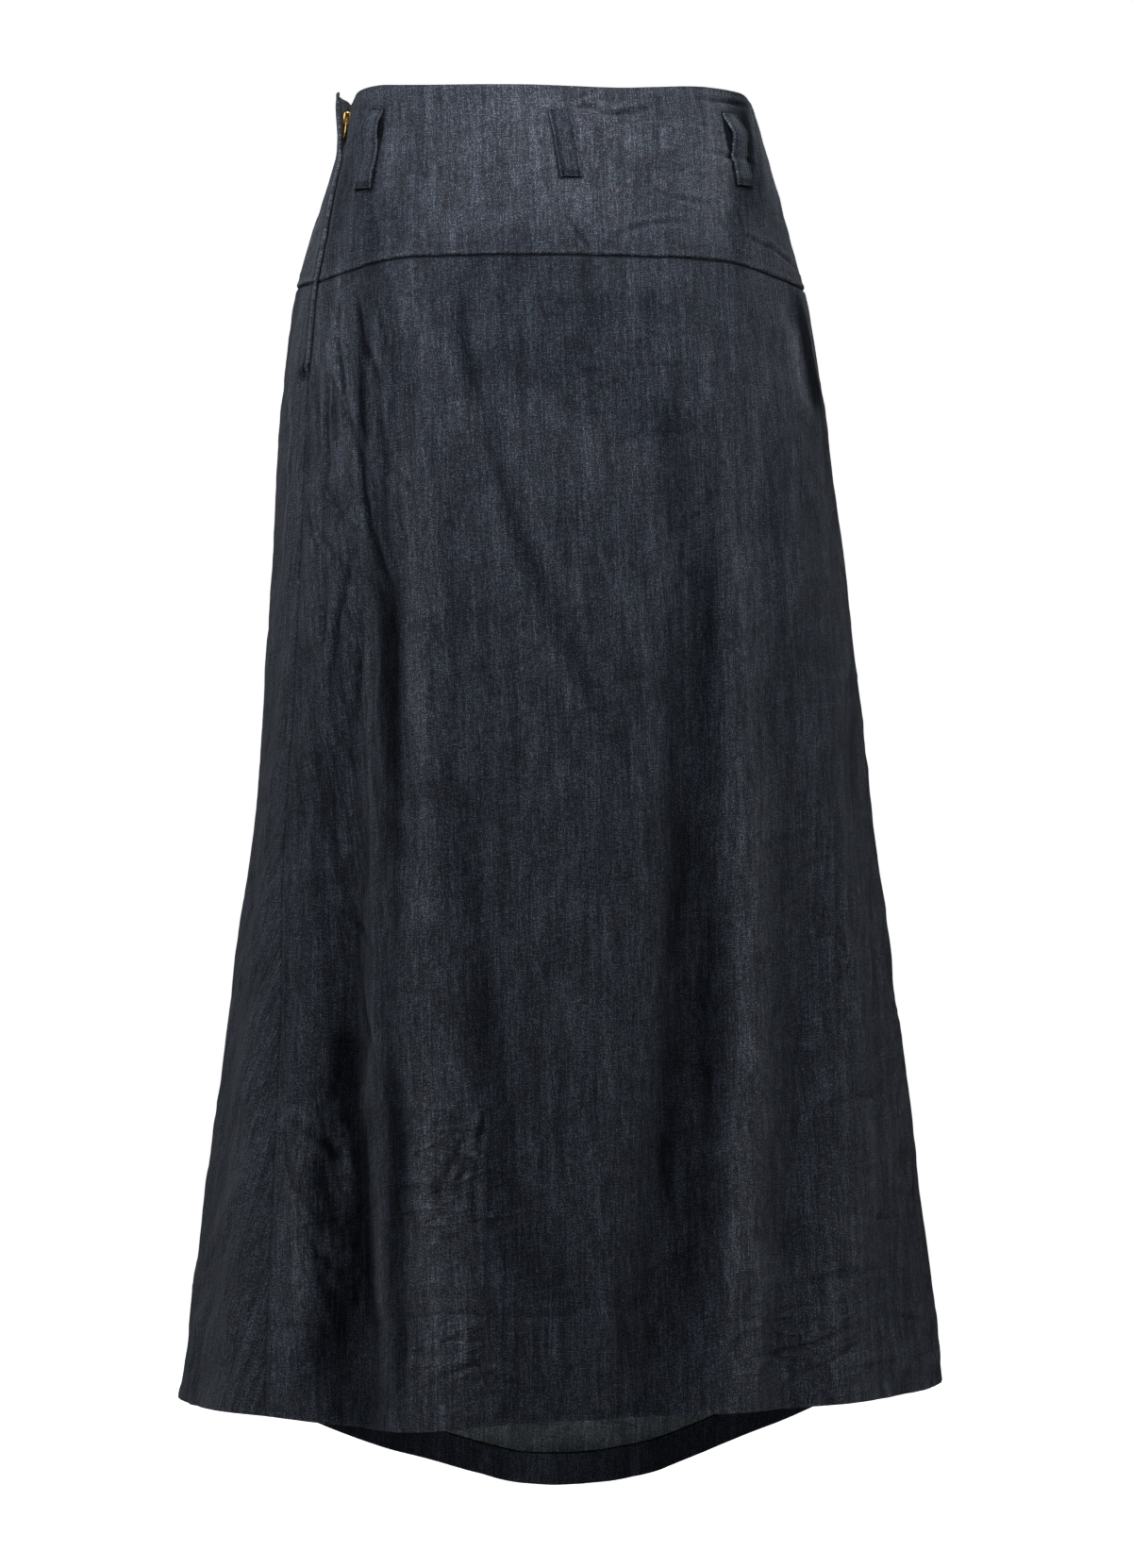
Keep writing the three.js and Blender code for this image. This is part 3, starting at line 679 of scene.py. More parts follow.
class Side:
    """The back or the front of the skirt, with its own creases and crumpling."""

    def __init__(self, middle, creases, worn, crushed, seed):
        self.middle = middle
        self.creases = creases
        # worn holds the bands of painted shade and highlight, partly wear
        self.worn = worn
        self.crushed = crushed
        self.seed = seed

    def across(self, angle, drop):
        return wrap(angle - self.middle) * girth(drop) / 360

    def relief(self, angle, drop):
        """How far the worn surface stands off the smooth form."""
        across = self.across(angle, drop)
        below_yoke = smooth(drop, yoke_edge(angle), yoke_edge(angle) + 30)
        to_hem = hem_edge(angle) - drop
        limp = 0.55 + 0.3 * below_yoke + 0.35 * smooth(np.abs(across), 90, 190)
        limp = limp + 0.3 * smooth(to_hem, 140, 30)
        height = limp * crumple(across, drop, self.seed)
        height = height + 2.2 * crease_height(self.creases, across, drop)
        gather = lattice_noise(across / 9 + drop / 60, drop / 70, self.seed + 60)
        height = height + 0.9 * self.wrinkled(angle, drop, 4) * gather
        pucker = lattice_noise(across / 7, drop / 40, self.seed + 90)
        return height + 0.35 * pucker * (1 - smooth(to_hem, 22, 46))

    def wrinkled(self, angle, drop, column):
        """How strong the small wrinkles are: down the cloth for column 4, across it for column 5."""
        across = self.across(angle, drop)
        amount = np.full_like(across, 0.3 if column == 4 else 0.25)
        for row in self.crushed:
            off = ((across - row[0]) / row[2]) ** 2 + ((drop - row[1]) / row[3]) ** 2
            amount = np.maximum(amount, row[column] * np.exp(-off))
        return amount

    def seam_roll(self, angle, drop):
        """At the yoke seam the cloth rolls in, and the yoke's edge stands a little proud."""
        from_seam = drop - yoke_edge(angle)
        dip = -1.5 * bell(from_seam, 0.9)
        proud = 0.5 * bell(from_seam + 2.6, 1.8)
        pressed = 0.35 * bell(from_seam + 9.0, 1.4)
        flat = -0.2 * smooth(drop, 6.5, 9.0) * (1 - smooth(drop, 9.0, 13.0))
        return dip + proud + pressed + flat

    def side_roll(self, angle, drop):
        """The cloth rolls in along both side seams, and the back also where the lap ends on it."""
        per_mm = degrees_per_mm(angle, drop)
        from_right = wrap(angle - seam_angle(drop, "right")) / per_mm
        from_left = wrap(angle - seam_angle(drop, "left")) / per_mm
        below_lap = smooth(drop, LAP_CLOSE, LAP_BOTTOM + 6)
        right = bell(from_right, 1.0)
        left = bell(from_left, 1.0) * below_lap
        proud = 0.35 * bell(from_left - 2.8, 1.6) * below_lap
        roll = -0.6 * np.maximum(right, left) + proud
        if self is BACK:
            past_lap = from_left - lap_edge(drop)
            roll = roll - 0.9 * (1 - below_lap) * bell(past_lap - 1.0, 0.8)
        return roll

    def height(self, angle, drop):
        """Creases and crumpling die out at the side seams, which only pucker."""
        per_mm = degrees_per_mm(angle, drop)
        from_right = np.abs(wrap(angle - seam_angle(drop, "right"))) / per_mm
        from_left = np.abs(wrap(angle - seam_angle(drop, "left"))) / per_mm
        outer = np.minimum(np.abs(wrap(angle - 84)), np.abs(wrap(angle + 95)))
        calm = (smooth(drop, 0, 6) * 0.6 + 0.4) * smooth(np.minimum(from_left, from_right), 0, 16)
        calm = calm * (1 - 0.55 * bell(outer, 11))
        pucker = 0.35 * lattice_noise(drop / 9, 0 * drop + 5.5, 77) * (1 - calm)
        rolls = self.seam_roll(angle, drop) + self.side_roll(angle, drop)
        return self.relief(angle, drop) * calm + pucker + rolls


BACK = Side(0, BACK_CREASES, BACK_SHADE_AND_WEAR, BACK_CRUSHED, 11)
FRONT = Side(180, FRONT_CREASES, FRONT_SHADE_AND_WEAR, FRONT_CRUSHED, 57)


def back_angle(u, drop):
    left = beside_zip(drop, -SEAM_LAP)
    right = seam_angle(drop, "right")
    return mix(left, right + SEAM_LAP * degrees_per_mm(right, drop), u)


def front_angle(u, drop):
    right = seam_angle(drop, "right")
    left = 360 + beside_zip(drop, lap_edge(drop))
    return mix(right - SEAM_LAP * degrees_per_mm(right, drop), left, u)


def lap_out(angle, drop):
    """How far the front stands out beside the zip."""
    edge = 360 + beside_zip(drop, lap_edge(drop))
    to_edge = (edge - angle) / degrees_per_mm(angle, drop)
    return lap_lift(drop) * (1 - smooth(to_edge, LAP_FLAT, LAP_WIDTH))


def place_on(angle_at, drop_at, u):
    """Angle and drop of a place that lies u across between the seams."""
    drop = drop_at(angle_at(u, np.full_like(u, YOKE_DROP)))
    for _ in range(4):
        drop = drop_at(angle_at(u, drop))
    return angle_at(u, drop), drop


def cloth_out(side, angle, drop):
    """Offset of the worn cloth's outer face from the smooth form, with the lap over the zip."""
    if side is BACK:
        return side.height(angle, drop)
    lift = lap_out(angle, drop)
    return side.height(angle, drop) * (1 - 0.75 * smooth(lift, 0, LAP_LIFT)) + lift


# Meshes

def deselect_all():
    if bpy.context.object and bpy.context.object.mode != "OBJECT":
        bpy.ops.object.mode_set(mode="OBJECT")
    bpy.ops.object.select_all(action="DESELECT")


def set_active(obj):
    deselect_all()
    obj.select_set(True)
    bpy.context.view_layer.objects.active = obj


def apply_modifier(obj, kind, **settings):
    set_active(obj)
    modifier = obj.modifiers.new(kind.lower(), kind)
    for key, value in settings.items():
        setattr(modifier, key, value)
    bpy.ops.object.modifier_apply(modifier=modifier.name)


def grid_object(name, columns, rows):
    """A primitive grid with the given numbers of faces, and its vertices' u and v from 0 to 1."""
    deselect_all()
    bpy.ops.mesh.primitive_grid_add(x_subdivisions=columns, y_subdivisions=rows, size=2)
    obj = bpy.context.object
    obj.name = name
    obj.data.name = name
    flat = np.empty(len(obj.data.vertices) * 3, np.float32)
    obj.data.vertices.foreach_get("co", flat)
    flat = flat.reshape(-1, 3).astype(float)
    return obj, np.round((flat[:, 0] + 1) / 2, 6), np.round((1 - flat[:, 1]) / 2, 6)


def set_points(obj, points):
    obj.data.vertices.foreach_set("co", (np.asarray(points) * MM).astype(np.float32).ravel())
    obj.data.update()


def set_cloth_map(obj, across, drop):
    """Gives each face corner its place on the flat cloth, in metres, as the piece's UV map."""
    mesh = obj.data
    while mesh.uv_layers:
        mesh.uv_layers.remove(mesh.uv_layers[0])
    layer = mesh.uv_layers.new(name="cloth")
    corner = np.empty(len(mesh.loops), np.int32)
    mesh.loops.foreach_get("vertex_index", corner)
    place = np.stack([across[corner] * MM, -drop[corner] * MM], -1)
    layer.data.foreach_set("uv", place.astype(np.float32).ravel())


def set_numbers(obj, name, values):
    """Gives each point of a mesh a number for its material."""
    layer = obj.data.attributes.new(name, "FLOAT", "POINT")
    layer.data.foreach_set("value", values.astype(np.float32))


def set_painted_light_and_wear(obj, painted_light_and_wear, upright=0.1, level=0.1):
    """How much painted light and shade, with some wear, the cloth has at each point, and how
    wrinkled: down the cloth and across it.
    """
    set_numbers(obj, "painted_light_and_wear", painted_light_and_wear)
    set_numbers(obj, "upright", painted_light_and_wear * 0 + upright)
    set_numbers(obj, "level", painted_light_and_wear * 0 + level)


def arc_across(points, u, v, middle_of_row):
    """Length along the cloth, in each row of a grid, from the row's middle."""
    order = np.lexsort((u, v))
    columns = len(np.unique(u))
    rows = points[order].reshape(-1, columns, 3)
    steps = np.linalg.norm(np.diff(rows, axis=1), axis=-1)
    along = np.concatenate([np.zeros((len(rows), 1)), np.cumsum(steps, axis=1)], axis=1)
    line = middle_of_row[order].reshape(-1, columns)
    for k in range(len(rows)):
        along[k] -= np.interp(0, line[k], along[k])
    across = np.empty(len(u))
    across[order] = along.ravel()
    return across


def finish_piece(obj, body, nodes, material_list):
    mesh = obj.data
    side_of_face = np.empty(len(mesh.polygons), np.int32)
    mesh.polygons.foreach_get("material_index", side_of_face)
    mesh.materials.clear()
    for material in material_list:
        mesh.materials.append(material)
    side_of_face = np.minimum(side_of_face, len(material_list) - 1)
    mesh.polygons.foreach_set("material_index", side_of_face)
    set_active(obj)
    bpy.ops.object.shade_smooth()
    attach(obj, body)
    if nodes:
        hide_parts(*nodes)


def cloth_piece(node, side, u_line, v_line, drop_at, wall):
    """A shell of cloth between the side seams. drop_at(angle, v) gives the drop of a row."""
    obj, u, v = grid_object(node + "_cloth", len(u_line) - 1, len(v_line) - 1)
    angle_at = back_angle if side is BACK else front_angle
    u = np.interp(u, np.linspace(0, 1, len(u_line)), u_line)
    v = np.interp(v, np.linspace(0, 1, len(v_line)), v_line)
    angle, drop = place_on(angle_at, lambda a: drop_at(a, v), u)
    out = cloth_out(side, angle, drop)
    points = cloth_point(angle, drop, out)
    set_points(obj, points)
    smooth_form = cloth_point(angle, drop, 0)
    set_cloth_map(obj, arc_across(smooth_form, u, v, wrap(angle - side.middle)), drop)
    # Painted light and shade with some wear for the right side, less the loops' painted shadow; the
    # wrong side gets the same painted light and shade
    tone = cloth_painted_light_and_wear(side, angle, drop)
    dark = painted_loop_shadow(side, angle, drop)
    set_painted_light_and_wear(obj, np.clip(tone - dark, 0.02, 1), side.wrinkled(angle, drop, 4),
             side.wrinkled(angle, drop, 5))
    set_numbers(obj, "inside", np.clip(tone, 0.02, 1))
    obj.data.materials.append(None)
    obj.data.materials.append(None)
    apply_modifier(obj, "SOLIDIFY", thickness=wall * MM, offset=-1, use_rim=True,
                   material_offset=1, material_offset_rim=0, use_quality_normals=False)
    both_sides = [material_of(denim_right_side), material_of(denim_wrong_side)]
    finish_piece(obj, "skirt", [node], both_sides)


def cloth_painted_light_and_wear(side, angle, drop):
    """Painted light and shade with some wear: ridges and the yoke's middle paler, troughs and seams
    darker.
    """
    across = side.across(angle, drop)
    # Painted shade in the folds' troughs and the creases' valleys, painted highlight on ridges and
    # lips, with some wear
    painted_light_and_wear = 0.5 + fold_depth(angle, drop) / 60 + 0.04 * side.relief(angle, drop)
    painted_light_and_wear = painted_light_and_wear + crease_height(side.worn, across, drop)
    painted_light_and_wear = painted_light_and_wear + 0.36 * crease_height(side.creases, across, drop)
    gather = lattice_noise(across / 9 + drop / 60, drop / 70, side.seed + 60)
    painted_light_and_wear = painted_light_and_wear + 0.16 * side.wrinkled(angle, drop, 4) * gather
    from_seam = drop - yoke_edge(angle)
    on_yoke = 1 - smooth(from_seam, -1, 1)
    # Painted highlight on the yoke's upper middle, where the light falls most
    yoke_painted_highlight = 0.3 * bell(across, 78) * (1 - smooth(drop, 40, 120))
    painted_light_and_wear = painted_light_and_wear + on_yoke * (0.04 + yoke_painted_highlight)
    # Painted highlight on the yoke's edge above the seam, and painted shade in the seam line
    painted_light_and_wear = painted_light_and_wear + 0.3 * bell(from_seam + 1.7, 0.9)
    painted_light_and_wear = painted_light_and_wear - 1.1 * bell(from_seam - 0.3, 0.9)
    painted_light_and_wear = painted_light_and_wear + 0.12 * bell(drop, 1.5)
    painted_light_and_wear = painted_light_and_wear + 0.15 * bell(hem_edge(angle) - drop, 1.4)
    from_left = wrap(angle - seam_angle(drop, "left")) / degrees_per_mm(angle, drop)
    past_lap = from_left - lap_edge(drop)
    on_lap = 1 - smooth(drop, LAP_CLOSE, LAP_BOTTOM)
    if side is BACK:
        # Painted shadow on the back beside the lap's edge, and painted shade in the seam line below
        # the lap
        painted_light_and_wear = painted_light_and_wear - 0.9 * on_lap * bell(past_lap - 0.7, 1.0)
        painted_light_and_wear = painted_light_and_wear - 0.3 * (1 - on_lap) * bell(from_left, 0.8)
    else:
        # Painted highlight on the lap's edge, painted shade in a line inside it and a painted shadow
        # at the lap's end; painted shade in the seam line below the lap
        painted_light_and_wear = painted_light_and_wear + 0.9 * on_lap * bell(past_lap, 1.3)
        painted_light_and_wear = painted_light_and_wear - 0.2 * on_lap * bell(past_lap + 3.2, 1.0)
        end = ((past_lap + 6.0) / 7.5) ** 2 + ((drop - LAP_CLOSE - 3.0) / 4.5) ** 2
        painted_light_and_wear = painted_light_and_wear - 0.45 * np.exp(-end ** 2)
        painted_light_and_wear = painted_light_and_wear - 0.3 * (1 - on_lap) * bell(from_left, 0.8)
    return painted_light_and_wear


def painted_loop_shadow(side, angle, drop):
    """Painted shadow on the yoke under the loops and close beside them, deeper on their left."""
    dark = np.zeros_like(angle)
    for loop in BELT_LOOPS:
        if loop_side(loop[1]) is not side:
            continue
        share = np.clip((drop - loop[3]) / (loop[4] - loop[3]), 0, 1)
        aside = np.abs(wrap(angle - mix(loop[1], loop[2], share))) / degrees_per_mm(angle, drop)
        past = np.maximum(np.maximum(loop[3] - drop, drop - loop[4]), 0)
        off = np.hypot(np.maximum(aside - LOOP_WIDTH / 2, 0), past)
        leftward = wrap(angle - mix(loop[1], loop[2], share)) < 0
        depth = np.where(leftward, 0.8, 0.6)
        dark = np.maximum(dark, depth * bell(off, 1.5))
    return dark


# Materials

def add(tree, kind, values=None, links=None, **settings):
    """Adds a node with its settings, its sockets' values and the links into it."""
    node = tree.nodes.new(kind)
    for key, value in settings.items():
        setattr(node, key, value)
    for socket, value in (values or {}).items():
        node.inputs[socket].default_value = value
    for socket, source in (links or {}).items():
        tree.links.new(source, node.inputs[socket])
    return node


def new_material(name):
    material = bpy.data.materials.new(name)
    material.use_nodes = True
    material.node_tree.nodes.clear()
    return material, material.node_tree


def thread_noise(tree, place, width, length, detail=2.0, roughness=0.55):
    """Noise drawn out to a width across the cloth and a length down it, in millimetres."""
    scale = (1 / (width * MM), 1 / (length * MM), 1)
    mapped = add(tree, "ShaderNodeMapping", {"Scale": scale}, {"Vector": place})
    noise = add(tree, "ShaderNodeTexNoise", {"Scale": 1.0, "Detail": detail, "Roughness": roughness},
                {"Vector": mapped.outputs[0]}, noise_dimensions="2D")
    return noise.outputs[0]


def wrinkles(tree, place, width, length, turn, strength):
    """Fine creases where a drawn-out noise crosses its middle: a dip with painted shade and a pale
    lip beside it with a painted highlight.
    """
    mapped = add(tree, "ShaderNodeMapping",
                 {"Scale": (width * MM, length * MM, 1), "Rotation": (0, 0, math.radians(turn))},
                 {"Vector": place}, vector_type="TEXTURE")
    noise = add(tree, "ShaderNodeTexNoise", {"Scale": 1.0, "Detail": 2.5, "Roughness": 0.5},
                {"Vector": mapped.outputs[0]}, noise_dimensions="2D")
    ramp = add(tree, "ShaderNodeValToRGB", None, {"Fac": noise.outputs[0]})
    stops = ramp.color_ramp.elements
    stops[0].position, stops[0].color = 0.36, (0.5, 0.5, 0.5, 1)
    stops[1].position, stops[1].color = 0.68, (0.5, 0.5, 0.5, 1)
    for position, grey in ((0.43, 0.4), (0.48, 0.0), (0.53, 0.9), (0.59, 0.65)):
        stops.new(position).color = (grey, grey, grey, 1)
    height = add(tree, "ShaderNodeMath", {1: 0.5}, {0: ramp.outputs[0]}, operation="SUBTRACT")
    return add(tree, "ShaderNodeMath", None, {0: height.outputs[0], 1: strength},
               operation="MULTIPLY").outputs[0]


def rescaled(tree, value, to_span=(0, 1), from_span=(0, 1)):
    """A number moved from one span into another, and kept inside that."""
    spans = {"From Min": from_span[0], "From Max": from_span[1],
             "To Min": to_span[0], "To Max": to_span[1]}
    return add(tree, "ShaderNodeMapRange", spans, {"Value": value}).outputs[0]


def two_tones(tree, factor, dark, pale, ends=(0, 1)):
    """A colour ramp from a dark colour to a pale one."""
    ramp = add(tree, "ShaderNodeValToRGB", None, {"Fac": factor})
    for stop, colour, at in zip(ramp.color_ramp.elements, (dark, pale), ends):
        stop.position = at
        stop.color = (*colour, 1)
    return ramp


def times(colour, factor):
    return [min(c * factor, 1) for c in colour]


def object_noise(tree, scale, detail=2.0):
    place = add(tree, "ShaderNodeTexCoord").outputs["Object"]
    return add(tree, "ShaderNodeTexNoise", {"Scale": scale, "Detail": detail},
               {"Vector": place}).outputs[0]


def finish_material(tree, values, links):
    surface = add(tree, "ShaderNodeBsdfPrincipled", values, links)
    add(tree, "ShaderNodeOutputMaterial", None, {"Surface": surface.outputs[0]})


def product(tree, colour, tint):
    return add(tree, "ShaderNodeVectorMath", None, {0: colour, 1: tint},
               operation="MULTIPLY").outputs[0]


def tinted_by(tree, factor, low, high):
    """A tint between two, mixed by a number from 0 to 1."""
    return add(tree, "ShaderNodeMix", {6: (*low, 1), 7: (*high, 1)}, {0: factor},
               data_type="RGBA").outputs[2]


def mesh_number(tree, name):
    return add(tree, "ShaderNodeAttribute", attribute_name=name).outputs["Fac"]


def weighted_sum(tree, terms):
    """Sum of (output, weight) pairs, less its mean when each output is about a half."""
    total = None
    for output, weight in terms:
        values = {1: weight} if total is None else {1: weight, 2: 0.0}
        links = {0: output} if total is None else {0: output, 2: total}
        kind = "MULTIPLY" if total is None else "MULTIPLY_ADD"
        total = add(tree, "ShaderNodeMath", values, links, operation=kind).outputs[0]
    return total


def denim(name, dark, mid, pale, contrast, light_and_wear_by):
    """Indigo denim: dyed warp threads, uneven in thickness, cross a paler weft.

    The slubs make fine streaks down the cloth and fainter ones across it. The real threads are
    0.5 mm apart, too fine for the render, so they are drawn about twice as coarse. The last argument
    names the numbers of the mesh's points that hold painted light and shade with some wear: they
    darken or lighten the cloth, tint the painted shade bluer and set the sheen.
    """
    material, tree = new_material(name)
    place = add(tree, "ShaderNodeUVMap", uv_map="cloth").outputs[0]
    warp = thread_noise(tree, place, 0.8, 5)
    weft = thread_noise(tree, place, 5, 0.8)
    slub = thread_noise(tree, place, 1.5, 22, 3.0)
    band = thread_noise(tree, place, 7, 90, 2.0)
    grain = thread_noise(tree, place, 0.8, 0.8, 1.0)
    cloud = thread_noise(tree, place, 16, 30, 3.0)
    terms = [(warp, 0.34), (weft, 0.34), (slub, 0.36), (band, 0.26), (grain, 0.9), (cloud, 0.08)]
    tone = weighted_sum(tree, terms)
    middle = 0.5 * sum(weight for _, weight in terms)
    spread = 0.6 / contrast
    level = rescaled(tree, tone, from_span=(middle - spread, middle + spread))
    ramp = two_tones(tree, level, dark, pale)
    ramp.color_ramp.elements.new(0.5).color = (*mid, 1)
    # Painted light and shade with some wear, from the mesh: worn darkens or lightens the colour by
    # it, and tint makes the painted shade bluer
    painted_light_and_wear = mesh_number(tree, light_and_wear_by)
    worn = rescaled(tree, painted_light_and_wear, (0.16, 1.84))
    tint = tinted_by(tree, painted_light_and_wear, (0.85, 0.95, 1.15), (1.03, 1.01, 1.03))
    dye = rescaled(tree, thread_noise(tree, place, 2.4, 7, 3.0), from_span=(0.3, 0.7))
    uneven = tinted_by(tree, dye, (0.9, 1.04, 0.98), (1.1, 0.96, 1.02))
    tinted = product(tree, product(tree, ramp.outputs[0], tint), uneven)
    upright = mesh_number(tree, "upright")
    level_amount = mesh_number(tree, "level")
    creased = weighted_sum(tree, [
        (wrinkles(tree, place, 13, 90, 9, upright), 1.0),
        (wrinkles(tree, place, 60, 17, 12, level_amount), 1.0),
        (wrinkles(tree, place, 34, 34, 50, level_amount), 0.6),
        (wrinkles(tree, place, 6, 48, 7, upright), 0.6),
        (wrinkles(tree, place, 26, 8, 14, level_amount), 0.6),
    ])
    # The fine wrinkles also paint the colour: painted shade in each dip and a painted highlight on
    # its lip
    shade = rescaled(tree, creased, (0.45, 1.55), (-0.5, 0.5))
    worn = add(tree, "ShaderNodeMath", None, {0: worn, 1: shade}, operation="MULTIPLY")
    colour = add(tree, "ShaderNodeVectorMath", None, {0: tinted, "Scale": worn.outputs[0]},
                 operation="SCALE")
    threads = weighted_sum(tree, [(warp, 0.5), (weft, 0.5), (grain, 0.7), (slub, 0.4)])
    weave = add(tree, "ShaderNodeBump", {"Strength": 1.0, "Distance": 0.6 * MM},
                {"Height": threads})
    small = thread_noise(tree, place, 6, 22, 3.0, 0.6)
    rumple = add(tree, "ShaderNodeBump", {"Strength": 1.0, "Distance": 0.7 * MM},
                 {"Height": small, "Normal": weave.outputs[0]})
    rumple = add(tree, "ShaderNodeBump", {"Strength": 1.0, "Distance": 1.2 * MM},
                 {"Height": creased, "Normal": rumple.outputs[0]})
    # Gloss and sheen are lower where the cloth is painted darker
    finish_material(
        tree, {"Roughness": 0.82, "Sheen Roughness": 0.45, "Sheen Tint": (0.75, 0.82, 0.95, 1)},
        {"Base Color": colour.outputs[0], "Normal": rumple.outputs[0],
         "Specular IOR Level": rescaled(tree, painted_light_and_wear, (0.08, 0.46)),
         "Sheen Weight": rescaled(tree, painted_light_and_wear, (0.04, 0.34))})
    return material


def denim_right_side():
    sizes = bpy.context.scene.skirt_cloth
    return denim("indigo_denim", sizes.indigo, sizes.washed, sizes.pale_thread, 1.75, "painted_light_and_wear")


def denim_wrong_side():
    sizes = bpy.context.scene.skirt_cloth
    # The wrong side is darkened and lightened by the same painted light and shade, with some wear,
    # as the right side
    return denim("indigo_denim_wrong_side", sizes.wrong_dark, sizes.wrong_side,
                 sizes.pale_thread, 1.4, "inside")


def sewing_thread():
    """Polyester core thread, dyed navy: smooth, with a faint sheen on each stitch."""
    material, tree = new_material("navy_sewing_thread")
    colour = bpy.context.scene.skirt_cloth.thread
    ramp = two_tones(tree, object_noise(tree, 900.0, 1.0), times(colour, 0.6), times(colour, 1.5))
    finish_material(tree, {"Roughness": 0.5, "Specular IOR Level": 0.4},
                    {"Base Color": ramp.outputs[0]})
    return material


def brass():
    """Drawn brass wire and stamped brass, lightly tarnished, so its gloss is uneven."""
    material, tree = new_material("zip_brass")
    colour = bpy.context.scene.skirt_zip.brass
    noise = object_noise(tree, 380.0)
    ramp = two_tones(tree, noise, times(colour, 0.25), times(colour, 1.7), (0.38, 0.6))
    finish_material(tree, {"Metallic": 1.0},
                    {"Base Color": ramp.outputs[0], "Roughness": rescaled(tree, noise, (0.15, 0.4))})
    return material


def zip_tape():
    """Woven polyester zip tape, a fine herringbone in dark navy."""
    material, tree = new_material("zip_tape")
    place = add(tree, "ShaderNodeTexCoord").outputs["Object"]
    wave = add(tree, "ShaderNodeTexWave", {"Scale": 420.0, "Distortion": 0.4}, {"Vector": place},
               bands_direction="DIAGONAL")
    colour = bpy.context.scene.skirt_zip.tape
    ramp = two_tones(tree, wave.outputs[1], times(colour, 0.7), times(colour, 1.3))
    bump = add(tree, "ShaderNodeBump", {"Strength": 0.5, "Distance": 0.2 * MM},
               {"Height": wave.outputs[1]})
    finish_material(tree, {"Roughness": 0.75},
                    {"Base Color": ramp.outputs[0], "Normal": bump.outputs[0]})
    return material


def studio_white():
    """White painted studio cove, matt, glowing a little so that it stays pale in its corners."""
    material, tree = new_material("studio_white")
    ramp = two_tones(tree, object_noise(tree, 3.0), (0.88, 0.88, 0.88), (0.92, 0.92, 0.92))
    finish_material(tree, {"Roughness": 0.9, "Emission Color": (1, 1, 1, 1),
                           "Emission Strength": bpy.context.scene.skirt_stage.cove_glow},
                    {"Base Color": ramp.outputs[0]})
    return material


def material_of(maker):
    """The material that a function makes, made once."""
    found = bpy.data.materials.get(MATERIAL_NAMES[maker])
    return found or maker()


MATERIAL_NAMES = {
    denim_right_side: "indigo_denim",
    denim_wrong_side: "indigo_denim_wrong_side",
    sewing_thread: "navy_sewing_thread",
    brass: "zip_brass",
    zip_tape: "zip_tape",
    studio_white: "studio_white",
}


# Sizes and colours that a user would change

def size_of(name, text, default, low, high):
    return FloatProperty(name=name, description=text + ", in millimetres", default=default,
                         min=low, max=high)


def colour_of(name, text, code):
    return FloatVectorProperty(name=name, description=text, subtype="COLOR", default=srgb(code),
                               min=0, max=1)


def power_of(name, text, watts):
    return FloatProperty(name=name, description="Power of " + text + ", in watts", default=watts,
                         min=0, max=500)


class SkirtCloth(bpy.types.PropertyGroup):
    panel_wall: size_of("Panel thickness", "Thickness of one layer of denim", 1.2, 0.4, 3)
    yoke_wall: size_of("Yoke thickness", "Thickness of the doubled yoke", 1.6, 0.8, 4)
    turn_up_wall: size_of("Turn-up thickness", "Thickness of the turned-up hem", 1.0, 0.4, 3)
    loop_wall: size_of("Loop thickness", "Thickness of a folded belt loop", 1.5, 0.8, 3)
    stitch_length: size_of("Stitch length", "Length of one topstitch", 2.6, 1, 6)
    thread_width: size_of("Thread width", "Width of the sewing thread", 0.5, 0.2, 1.2)
    fineness: size_of("Grid size", "Distance between the points of a panel", 3.0, 1.5, 12)
    indigo: colour_of("Indigo", "The darkest dyed threads", "111318")
    washed: colour_of("Washed indigo", "The cloth's middle tone", "2D3138")
    pale_thread: colour_of("Pale threads", "Slubs and rubbed threads", "777D88")
    wrong_dark: colour_of("Wrong side, dark", "Dark threads of the wrong side", "181B1B")
    wrong_side: colour_of("Wrong side", "The wrong side's middle tone", "323733")
    thread: colour_of("Thread", "Sewing thread", "2C3644")


class SkirtZip(bpy.types.PropertyGroup):
    tooth_pitch: size_of("Tooth pitch", "From one tooth to the next on one side", 2.1, 1, 5)
    brass: colour_of("Brass", "Teeth, slider and pull tab", "A98446")
    tape: colour_of("Tape", "Zip tape", "222A36")


class SkirtStage(bpy.types.PropertyGroup):
    camera_distance: FloatProperty(
        name="Camera distance", description="From the camera to the skirt's middle",
        default=3.5, min=1, max=20, unit="LENGTH")
    camera_azimuth: FloatProperty(
        name="Camera azimuth", description="Angle of the view round the skirt",
        default=math.radians(-5.3), min=-math.pi, max=math.pi, unit="ROTATION")
    lens: FloatProperty(
        name="Lens", description="Focal length on a 36 mm high frame, in millimetres",
        default=124.28, min=20, max=400)
    floor_gap: FloatProperty(
        name="Floor gap", description="From the hem's lowest point to the floor",
        default=0.16, min=0, max=1, unit="LENGTH")
    cove_glow: FloatProperty(
        name="Cove glow", description="Light that the white cove gives off", default=0.95,
        min=0, max=2)
    key_power: power_of("Key light", "the small light close to the yoke", 0.36)
    side_power: power_of("Side lights", "each of the two lights at the sides", 5.5)
    front_power: power_of("Front light", "the light above the camera", 16)
    low_power: power_of("Low light", "the light inside the open hem", 0.5)
    back_power: power_of("Back light", "the light behind the skirt", 20)


# Pieces

def panel_drop(angle, v):
    return mix(yoke_edge(angle) - SEAM_LAP, hem_edge(angle), v)


def waist_rise(angle):
    return read_table(WAIST_RISE, WAIST_RISE_COLUMNS, angle, "rise")


